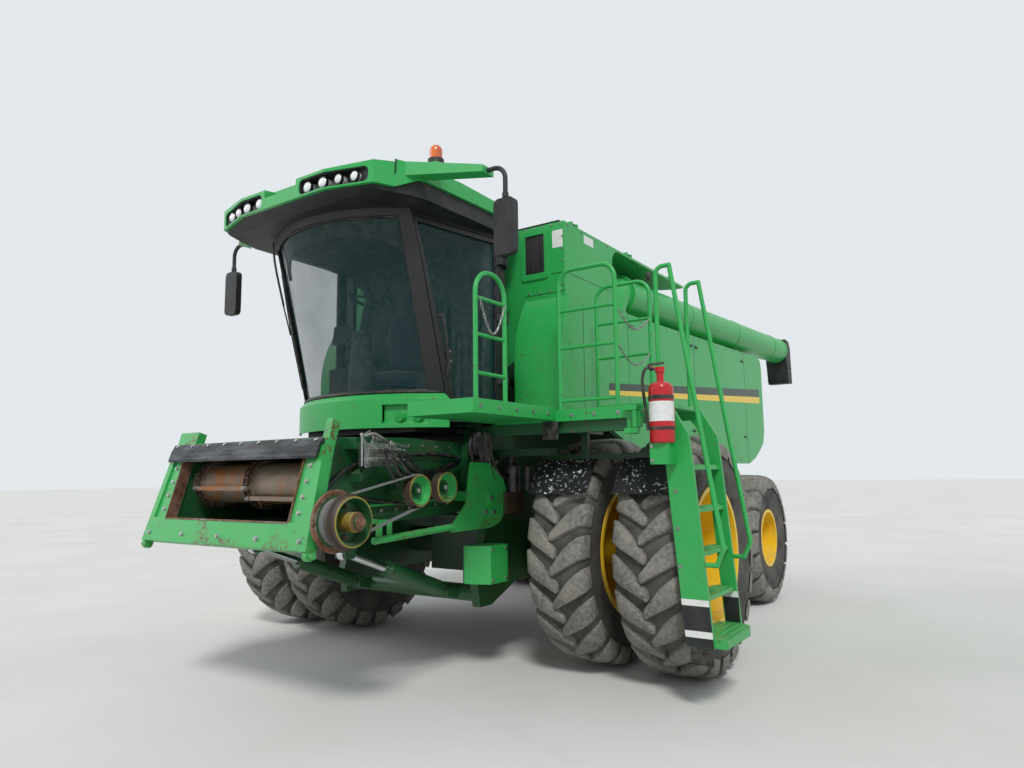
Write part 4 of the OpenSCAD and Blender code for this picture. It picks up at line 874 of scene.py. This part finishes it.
class HARVESTER_OT_cab(bpy.types.Operator):
    """Adds seals, linings, the driver's controls, the wiper and the door's handle"""

    bl_idname = "harvester.cab"
    bl_label = "Cab"

    def execute(self, context):
        form = Form("sealing_rubber")
        for x in (-738, 738):
            form.tube([on_screen(x, z, -16) for z in range(2312, 3661, 96)], 18, 8)
        for z in (2313, 3656):
            form.tube([on_screen(x, z, -16) for x in range(-738, 739, 82)], 18, 8)
        form.tube([on_screen(x, 2299, 2) for x in range(-820, 821, 82)], 20, 8)
        form.tube(curve(run(on_screen, (-700, 3700, 24), (-700, 3500, 44), (-712, 3150, 34))), 20, 8)
        form.tube(run(on_screen, (-712, 3150, 36), (-716, 2900, 20)), 14, 8)
        form.tube(run(on_screen, (-660, 3420, 4), (-716, 2950, 12), (-700, 2420, 4)), 12, 6)
        form.tube(run(on_screen, (-640, 3420, -6), (-700, 2950, -2), (-684, 2420, -6)), 18, 6)
        form.use("dark_lining")
        header = [(x, 3540 - 150 * (abs(x) / 700) ** 5) for x in range(-700, 701, 70)]
        form.skin([run(on_screen, (x, z, -56), (x, 3690, -56), (x, 3690, -84), (x, z + 10, -84))
                   for x, z in header])
        half = [(880, -870), (868, -1400), (790, -1780), (700, -1860), (500, -1975)]
        form.plate(2, 3672, half + [(-x, y) for x, y in reversed(half)], 40)
        form.box((-610, -900, 2170), (930, -868, 3672))
        form.plate(1, -905, [(-610, 2170), (-760, 2170), (-700, 2900), (-610, 3300)], 30)
        form.plate(1, -905, [(-610, 3672), (-850, 3672), (-740, 3560), (-610, 3380)], 30)
        for side in (1, -1):
            form.tube([(side * 905, -960, 2180), (side * 905, -960, 3660)], 90, 12)
        form.box((-640, -1330, 2160), (-400, -930, 2620))
        form.box((380, -1260, 2120), (700, -900, 2520))
        form.box((380, -940, 2520), (700, -880, 3000))
        form.box((-430, -1360, 2680), (-300, -930, 2760))
        form.use("black_plastic")
        screen = [(-405, -1512, 2800), (-180, -1490, 2790), (-165, -1478, 2960), (-395, -1500, 2972)]
        form.slab(screen, (6, 34, 6))
        form.tube([(-290, -1485, 2870), (-180, -1500, 2800), (-60, -1530, 2740)], 34)
        form.tube(curve([(-365, -1330, 2760), (-365, -1345, 2850), (-355, -1330, 2900)]), 34)
        form.lathe([(0, 8), (10, 30), (45, 34), (80, 22), (90, 1)], (-355, -1330, 2890), UP, 20)
        form.tube([(60, -1560, 2850), (120, -1590, 2900), (170, -1600, 2960)], 16)
        form.tube([(-60, -1560, 2850), (-110, -1590, 2900), (-140, -1600, 2930)], 16)
        form.done("cab_inside", "chassis", bevel=6)

        form = Form("sealing_rubber")
        outline = ((-1390, 2202), (-902, 2202), (-902, 3638), (-1756, 3638), (-1390, 2302))
        form.tube([on_flank(y, z, -18) for y, z in outline + outline[:1]], 16, 8)
        form.use("black_plastic")
        form.tube(curve(run(on_flank, (-1462, 2420, 4), (-1480, 2460, 50), (-1530, 2860, 50),
                            (-1545, 2900, 4))), 24)
        form.slab(run(on_flank, (-1450, 2520, 2), (-1405, 2520, 2), (-1405, 2640, 2), (-1470, 2640, 2)),
                  (14, 0, 0))
        form.bolts(run(on_flank, (-1430, 2540, 16), (-1440, 2620, 16)), LEFT, 12)
        form.done("door_fittings", "door")
        return {"FINISHED"}


# Profile of a cushion from its foot to its crown: height in half heights, and the share of its full width
CUSHION_PROFILE = ((-1.0, 0.0), (-1.0, 0.86), (-0.8, 0.95), (-0.3, 1.0), (0.2, 1.0), (0.55, 0.95),
                   (0.74, 0.85), (0.86, 0.66), (0.95, 0.38), (1.0, 0.02))


def cushion(form, centre, size, lean):
    """Crowned pad: a rounded rectangle that swells to its middle and domes on top, leaned about X."""
    turn = Matrix.Rotation(radians(lean), 3, "X")
    width, depth, thickness = (length / 2 for length in size)
    rings = []
    for up, wide in CUSHION_PROFILE:
        ring = []
        for t in turns(32):
            c, d = cos(t), sin(t)
            square = (abs(c) ** 5 + abs(d) ** 5) ** -0.2
            local = Vector((width * wide * square * c, depth * wide * square * d, thickness * up))
            ring.append(Vector(centre) + turn @ local)
        rings.append(ring)
    form.skin(rings)


class HARVESTER_OT_seat(bpy.types.Operator):
    """Makes the driver's padded seat on its pedestal in place of its plain solid"""

    bl_idname = "harvester.seat"
    bl_label = "Driver's seat"

    def execute(self, context):
        form = Form("seat_fabric")
        cushion(form, (0, -1160, 2500), (520, 480, 130), 4)
        cushion(form, (0, -925, 2850), (490, 560, 110), 94)
        cushion(form, (0, -905, 3095), (280, 130, 100), 94)
        form.use("sealing_rubber")
        for x in (-150, 150):
            form.tube([(x, -1370, 2528), (x, -1160, 2567), (x, -980, 2575)], 7, 6)
        pads = form.done("seat_pads", "chassis", ["driver_seat"], smooth=60)
        form = Form("black_plastic")
        for k in range(6):
            grow = 8 if k % 2 else 0
            form.box((-205 - grow, -1330 - grow, 2150 + 42 * k), (205 + grow, -970 + grow, 2192 + 42 * k))
        form.box((-250, -1350, 2112), (250, -950, 2150))
        form.box((-240, -1370, 2402), (240, -940, 2432))
        form.slab([(-210, -905, 2420), (210, -905, 2420), (190, -868, 3060), (-190, -868, 3060)], (0, 18, 0))
        form.done("seat_pedestal", "chassis", ["driver_seat"], bevel=8)
        return {"FINISHED"}


class HARVESTER_OT_roof(bpy.types.Operator):
    """Adds lamp glasses, the beacon's foot, mirror glass and the roof's lid"""

    bl_idname = "harvester.roof"
    bl_label = "Roof"

    def execute(self, context):
        form = Form("black_plastic")
        for x, length, r in ((290, 90, 45), (455, 85, 45), (600, 62, 38), (735, 30, 39)):
            for side in (1, -1):
                centre = (side * x, -2308.6 - length, 3825)
                form.use("black_plastic")
                form.lathe([(-20, r + 1), (-2, r + 5), (6, r + 4), (6, r - 3)], centre, AHEAD, 32)
                form.use("lamp_glass")
                form.lathe([(0, r), (5, r - 3), (13, r * 0.7), (16, r * 0.3), (17, 1)], centre, AHEAD, 32)
        form.use("black_plastic")
        form.lathe([(-1, 62), (20, 62), (37, 61.5), (39, 52)], (1150, -1905, 3960), UP, 40)
        form.use("green_paint").box((-460, -1400, 3950), (460, -820, 3982))
        form.bolts([(x, y, 3982) for x in (-430, 430) for y in (-1370, -850)], UP, 20)
        for side in (1, -1):
            form.use("mirror_glass").box((side * 1563, -1664.5, 3232), (side * 1717, -1663, 3628))
        for side in (1, -1):
            form.use("black_plastic")
            form.lathe([(3655, 24), (3690, 24)], (side * 1640, -1695, 0), UP, 20, capped=True)
        for side in (1, -1):
            form.use("dark_green_and_painted_shade").slab([(side * 968, -2150, 3852), (side * 976, -2150, 3852),
                                         (side * 976, -2146, 3962), (side * 968, -2146, 3962)], (0, -10, 0))
        form.done("roof_fittings", "chassis", smooth=50)
        return {"FINISHED"}


# Body


def stripes_and_seams(form, side):
    """Film stripes, door seams, latches and bolts of one flank."""
    x = side * (SIDE_X + PROUD)
    film = side * 1.3
    form.use("yellow_film").plate(0, x, [(180, 2360), (5150, 2640), (5150, 2735), (180, 2402)], film)
    form.use("dark_film").plate(0, x, [(180, 2402), (5150, 2735), (5150, 2850), (180, 2470)], film)
    form.use("dark_green_and_painted_shade")
    for y, low, high in ((-300, 2160, 3150), (620, 1870, 3212), (2450, 1650, 3264), (4450, 1740, 3322)):
        form.box((x, y, low + 6), (x + side, y + 7, high - 6))
    form.use("black_plastic")
    for y, low, high in ((700, 2150, 3080), (2360, 2100, 3120), (2530, 2100, 3120), (4360, 2100, 3170)):
        for z in (low, high):
            form.box((x, y - 35, z), (x + side * 12, y + 35, z + 26))
    form.bolts([(x, y, 3160 + y * 0.03) for y in range(960, 4700, 340)], (side, 0, 0), 14)
    form.bolts([(x, y, 1790) for y in range(2800, 4500, 340)], (side, 0, 0), 14)


class HARVESTER_OT_body(bpy.types.Operator):
    """Adds stripes, seams, latches, blank labels and bolts to the body's panels"""

    bl_idname = "harvester.body"
    bl_label = "Body panels"

    def execute(self, context):
        form = Form("yellow_film")
        for side in (1, -1):
            stripes_and_seams(form, side)
        # Dark strip under the tank's front ledge: painted shadow of the ledge
        form.use("dark_green_and_painted_shade").box((1020, TANK_Y - 1, 3228), (TANK_X - 2, TANK_Y - 0.1, 3235))
        form.box((TANK_X + 0.1, TANK_Y + 60, 3400), (TANK_X + 1, 420, 3406))
        form.box((1300, TANK_Y - 1, 3400), (TANK_X - 2, TANK_Y - 0.1, 3406))
        form.bolts([(TANK_X, y, 3845) for y in range(-440, 2150, 260)], LEFT, 14)
        form.bolts([(-TANK_X, y, 3845) for y in range(-440, 2150, 260)], RIGHT, 14)
        form.bolts([(x, TANK_Y, 3850) for x in range(1040, 1420, 90)], AHEAD, 12)
        form.bolts([(x, TANK_Y, 3255) for x in range(1060, 1420, 110)], AHEAD, 12)
        form.bolts([(1420, TANK_Y, z) for z in range(3290, 3840, 110)], AHEAD, 12)
        form.use("white_film")
        form.plate(1, TANK_Y - PROUD, [(1317, 3636), (1425, 3636), (1425, 3795), (1317, 3795)], -1)
        form.plate(0, TANK_X + PROUD, [(-137, 3755), (49, 3755), (49, 3835), (-137, 3835)], 1)
        form.use("black_paint")
        for x in (1078, 1178):
            form.box((x, TANK_Y - 5.5, 3432), (x + 8, TANK_Y - 4, 3786))
        form.done("panel_details", "chassis")

        form = Form("perforated_sheet")
        form.lathe([(1571, 436), (1573, 436), (1573, 60)], ROTARY_SCREEN, RIGHT, 72)
        form.use("black_paint")
        rim = [(1540, 450.5), (1582, 452), (1586, 444), (1586, 430), (1572, 430)]
        form.lathe(rim, ROTARY_SCREEN, RIGHT, 72)
        form.lathe([(1570, 70), (1600, 66), (1606, 1)], ROTARY_SCREEN, RIGHT, 32)
        spokes(form, (-1574, *ROTARY_SCREEN[1:]), BACK, UP, (60, 432), 7, (-8, 0, 0))
        form.use("dark_green_and_painted_shade")
        for k in range(6):
            form.box((-890, 3560 + 100 * k, 3318), (-300, 3610 + 100 * k, 3330))
        form.use("black_plastic")
        intake = [(3318, 90), (3500, 90), (3512, 100), (3560, 100), (3575, 40)]
        form.lathe(intake, (300, 3900, 0), UP, 40, capped=True)
        form.lathe([(3318, 60), (3350, 60), (3356, 50)], (900, 2700, 0), UP, 32, capped=True)
        for name, back, low, high in (("lamp_glass", 5338, 3040, 3110), ("red_film", 5340, 2480, 2580),
                                      ("amber_plastic", 5340, 2600, 2660)):
            for side in (1, -1):
                form.use(name).box((side * 1180, 5329, low), (side * 1340, back, high))
        form.use("dark_green_and_painted_shade")
        for z in range(2750, 2981, 46):
            form.box((-700, 5329.5, z), (700, 5331.5, z + 16))
        form.box((-1400, 5330, 2390), (1400, 5331, 2396))
        form.use("worn_green")
        for x, start in ((-380, 0.0), (380, 0.3)):
            spokes(form, (x, 4980, 1350), LEFT, BACK, (70, 315), 4, (0, 0, 60), start)
        form.done("rear_details", "chassis")
        return {"FINISHED"}


# Platform, ladder and mud flaps


def links(form, points):
    """Chain of round steel links that hangs through points."""
    for k, (a, b) in enumerate(zip(points, points[1:])):
        way = (b - a).normalized()
        wide = (way.cross(Vector(UP)) if k % 2 else Vector(UP)).normalized() * 9
        long = way * ((b - a).length / 2 + 6)
        middle = (a + b) / 2
        form.tube([middle + long * cos(t) + wide * sin(t) for t in (*turns(10), 2 * pi)], 6, 6, capped=False)


def hanging(a, b, sag, count=20):
    """Points from a to b in count steps, hanging down by sag in the middle."""
    return [Vector(a).lerp(Vector(b), k / count) - Vector((0, 0, sag * sin(pi * k / count)))
            for k in range(count + 1)]


def front_band(form, name, low, high):
    """Band of a finish across the ladder's leaning front stringer."""
    shares = ((z - STRINGER_FOOT_Z) / STRINGER_RISE for z in (low, high))
    (a, b), (d, c) = ((2616.5 - share * 102, 2809.5 - share * 95) for share in shares)
    form.use(name).plate(1, LADDER_FRONT - PROUD, [(a, low), (b, low), (c, high), (d, high)], -BAND_THICK)


class HARVESTER_OT_access(bpy.types.Operator):
    """Adds grip sheets, chains, reflectors, the extinguisher's fittings and the mat over the tyres"""

    bl_idname = "harvester.access"
    bl_label = "Platform and ladder"

    def execute(self, context):
        form = Form("grip_paint")
        form.box((1030, -2050, LANDING_Z + PROUD), (1600, -1016, LANDING_Z + GRIP_TOP))
        form.box((1030, -1004, DECK_Z + PROUD), (1496, -760, DECK_Z + GRIP_TOP))
        form.box((1508, -992, DECK_Z + PROUD), (2282, -308, DECK_Z + GRIP_TOP))
        form.use("bristle_mat")
        arc = [radians(a) for a in range(36, 61, 3)]
        for near, far in ((1262, 1790), (2022, 2560)):
            section = ((near, 1000), (near, 1008), (far, 1008), (far, 1000))
            form.skin([[(x, -r * sin(a), FRONT_Z + r * cos(a)) for x, r in section] for a in arc])
        form.use("dark_green_and_painted_shade")
        form.box((1262, -640, 1740), (2540, -600, 1790))
        form.box((1640, -640, 1790), (1700, -600, 2040))
        form.use("sealing_rubber").box((1500, -1012, 1900), (1640, -1001, 2040))
        form.bolts([(x, -1000, 2085) for x in (1560, 1760, 1960, 2160)], AHEAD, 18)
        form.bolts([(1610, y, 2100) for y in (-1980, -1760, -1540, -1320, -1100)], LEFT, 18)
        form.use("bare_steel")
        links(form, hanging((1602, -1965, 2850), (1602, -1665, 2850), 230))
        for z in (2905, 2615):
            links(form, hanging((2150, -952, z), (2150, -348, z), 130))
        form.use("black_plastic")
        form.lathe([(3245, 16), (3262, 24), (3290, 26), (3308, 18), (3312, 1)], (2150, -325, 0), UP, 20)
        form.done("platform_details", "chassis")

        form = Form("black_plastic")
        bands = (452, 512, 556, 722, 764)
        for name, low, high in zip(("black_plastic", "white_film") * 2, bands, bands[1:]):
            front_band(form, name, low, high)
        back = LADDER_BACK - 30 - PROUD
        for name, outline in (("black_plastic", [(2692, 520), (2802, 520), (2796, 700), (2682, 700)]),
                              ("white_film", [(2682, 700), (2796, 700), (2793, 745), (2680, 745)])):
            form.use(name).plate(1, back, outline, -BAND_THICK)
        form.use("sealing_rubber").box((2640, LADDER_FRONT + 6, 330), (2800, LADDER_FRONT + 14, 452))
        form.box((2660, LADDER_FRONT + 30, 340), (2668, LADDER_BACK - 30, 452))
        form.use("worn_green")
        for step in range(1, 5):
            above_foot = step * (DECK_Z - STRINGER_FOOT_Z) / STEPS_IN_RISE
            x, z = 2620 - above_foot * 0.0414, 480 + above_foot
            for k in range(14):
                for across in (50, 100):
                    centre = (x + across, LADDER_FRONT + 50 + 41 * k, z)
                    form.lathe([(0, 13), (7, 11), (7, 6), (1, 5)], centre, UP, 10)
        for k in range(15):
            for x in (2670, 2730, 2790, 2845):
                if x < 2800 or k < 13:
                    centre = (x, LADDER_FRONT + 20 + 40 * k, 510)
                    form.lathe([(0, 14), (8, 12), (8, 7), (1, 6)], centre, UP, 10)
        form.bolts([(x, LADDER_FRONT, z) for x, z in ((2580, 1500), (2586, 1240), (2592, 980))], AHEAD, 16)
        form.bolts([(x, LADDER_FRONT, z) for x, z in ((2350, 2080), (2480, 2080), (2500, 1960))], AHEAD, 20)
        form.bolts([(2478, -1130, z) for z in (1715, 1815)], AHEAD, 16)

        form.use("white_film").lathe([(150, 88.6), (290, 88.4)], EXTINGUISHER, UP, 48)
        form.use("hose_rubber")
        for low, high in ((306, 334), (90, 112)):
            form.lathe([(low, 88.5), (low, 91), (high, 91), (high, 88)], EXTINGUISHER, UP, 48)
        form.tube(curve([(2500, -1112, 2365), (2462, -1150, 2370), (2436, -1160, 2290), (2440, -1140, 2120),
                         (2446, -1120, 2000)]), 22)
        form.tube([(2446, -1120, 2000), (2450, -1114, 1930)], 30)
        form.use("bare_steel").lathe([(432, 24), (470, 24), (478, 20)], EXTINGUISHER, UP, 24, capped=True)
        form.use("black_plastic")
        for grip in (((2470, -1140, 2385), (2570, -1075, 2400), (2566, -1068, 2412), (2466, -1132, 2396)),
                     ((2480, -1130, 2350), (2550, -1085, 2360), (2546, -1077, 2368), (2476, -1122, 2358))):
            form.slab(grip, (0, 0, 8))
        form.done("ladder_details", "boarding_ladder")
        return {"FINISHED"}


# Unloading tube


class HARVESTER_OT_unloader(bpy.types.Operator):
    """Adds flange bolts, weld bands and the boot's ribs to the unloading tube"""

    bl_idname = "harvester.unloader"
    bl_label = "Unloading tube"

    def execute(self, context):
        form = Form("bare_steel")
        along = Vector(on_tube(0, 1, 0)) - Vector(on_tube(0, 0, 0))
        form.bolts([on_tube(215 * cos(t), 256, 215 * sin(t)) for t in turns(16)], along, 16)
        form.use("green_paint")
        for y in (*TUBE_BANDS, 5905):
            form.lathe([(-20, 200.5), (-18, 206), (18, 206), (20, 200.5)], on_tube(0, y, 0), along, 64)
        form.bolts([on_tube(0, y, 205) for y in TUBE_BANDS], UP, 20)
        form.use("black_plastic")
        for up in (-300, -400, -500):
            form.skin([run(on_tube, (-176, 5994, z), (176, 5994, z), (176, 6212, z), (-176, 6212, z))
                       for z in (up - 7, up + 7)])
        form.done("tube_details", "unloader")
        return {"FINISHED"}


# Stage

CAMERA_PLACE = (4553, -5896)
CAMERA_YAW, CAMERA_PITCH, CAMERA_ROLL = 34.383, 7.07, -0.695
FOCAL_PIXELS, PICTURE_WIDTH, SENSOR_MM = 723.29, 1024, 36
FLOOR_HALF_M = 120
WORLD_LIGHT, WORLD_SEEN = 0.62, 0.95


def make_camera():
    yaw, pitch, roll = (radians(a) for a in (CAMERA_YAW, CAMERA_PITCH, CAMERA_ROLL))
    ahead = Vector((-sin(yaw) * cos(pitch), cos(yaw) * cos(pitch), sin(pitch)))
    level = Vector((cos(yaw), sin(yaw), 0))
    steep = level.cross(ahead)
    right = level * cos(roll) + steep * sin(roll)
    up = steep * cos(roll) - level * sin(roll)
    data = bpy.data.cameras.new("Camera")
    data.sensor_width = SENSOR_MM
    data.lens = FOCAL_PIXELS * SENSOR_MM / PICTURE_WIDTH
    data.clip_end = 500
    camera = new_object("Camera", data)
    turn = Matrix((right, up, -ahead)).transposed().to_4x4()
    camera.matrix_world = Matrix.Translation(place(*CAMERA_PLACE, sizes().eye_height / MM)) @ turn
    bpy.context.scene.camera = camera


def make_sun(name, direction, strength, spread):
    """A sun that shines along direction; spread is its angle in degrees."""
    data = bpy.data.lights.new(name, "SUN")
    data.energy = strength
    data.angle = radians(spread)
    new_object(name, data).rotation_euler = Vector(direction).to_track_quat("-Z", "Y").to_euler()


class HARVESTER_OT_stage(bpy.types.Operator):
    """Sets up the pale floor, the soft light and the camera"""

    bl_idname = "harvester.stage"
    bl_label = "Stage"

    def execute(self, context):
        make_camera()
        mesh = bpy.data.meshes.new("floor")
        square = [(x * FLOOR_HALF_M, y * FLOOR_HALF_M, 0) for x, y in ((-1, -1), (1, -1), (1, 1), (-1, 1))]
        mesh.from_pydata(square, [], [(0, 1, 2, 3)])
        mesh.materials.append(layered(
            "matt studio floor paint", colours().floor, [("#CFCECA", 2500, 0.35, 0.7)], 0.9))
        new_object("floor", mesh)
        world = bpy.data.worlds.new("Studio")
        context.scene.world = world
        world.use_nodes = True
        tree = world.node_tree
        background = tree.nodes["Background"]
        background.inputs["Color"].default_value = linear("#E9EEF2")
        path = add(tree, "ShaderNodeLightPath")
        seen = path.outputs["Is Camera Ray"]
        for ray in ("Is Glossy Ray", "Is Transmission Ray"):
            either = add(tree, "ShaderNodeMath", {0: seen, 1: path.outputs[ray]}, operation="MAXIMUM")
            seen = either.outputs[0]
        strength = add(tree, "ShaderNodeMapRange", {
            "Value": seen, "To Min": WORLD_LIGHT, "To Max": WORLD_SEEN})
        tree.links.new(strength.outputs["Result"], background.inputs["Strength"])
        make_sun("key", (-0.55, 0.75, -0.95), 2.0, 12)
        make_sun("fill", (0.8, 0.35, -0.5), 0.6, 40)
        context.scene.view_settings.view_transform = "Standard"
        return {"FINISHED"}


class HARVESTER_PT_panel(bpy.types.Panel):
    """Lists the steps that dress the machine"""

    bl_idname = "HARVESTER_PT_panel"
    bl_label = "Harvester"
    bl_space_type = "VIEW_3D"
    bl_region_type = "UI"
    bl_category = "Harvester"

    def draw(self, context):
        for step in STEPS:
            self.layout.operator(step.bl_idname)


STEPS = (HARVESTER_OT_stage, HARVESTER_OT_solids, HARVESTER_OT_tyres, HARVESTER_OT_rims, HARVESTER_OT_feeder,
         HARVESTER_OT_hoses, HARVESTER_OT_cab, HARVESTER_OT_seat, HARVESTER_OT_roof, HARVESTER_OT_body,
         HARVESTER_OT_access, HARVESTER_OT_unloader)
CLASSES = (HarvesterSizes, HarvesterColours, *STEPS, HARVESTER_PT_panel)


def register():
    for part in CLASSES:
        bpy.utils.register_class(part)
    bpy.types.Scene.harvester_sizes = bpy.props.PointerProperty(type=HarvesterSizes)
    bpy.types.Scene.harvester_colours = bpy.props.PointerProperty(type=HarvesterColours)


def unregister():
    del bpy.types.Scene.harvester_colours
    del bpy.types.Scene.harvester_sizes
    for part in reversed(CLASSES):
        bpy.utils.unregister_class(part)


def main():
    register()
    for step in STEPS:
        area, name = step.bl_idname.split(".")
        getattr(getattr(bpy.ops, area), name)()


if __name__ == "__main__":
    main()
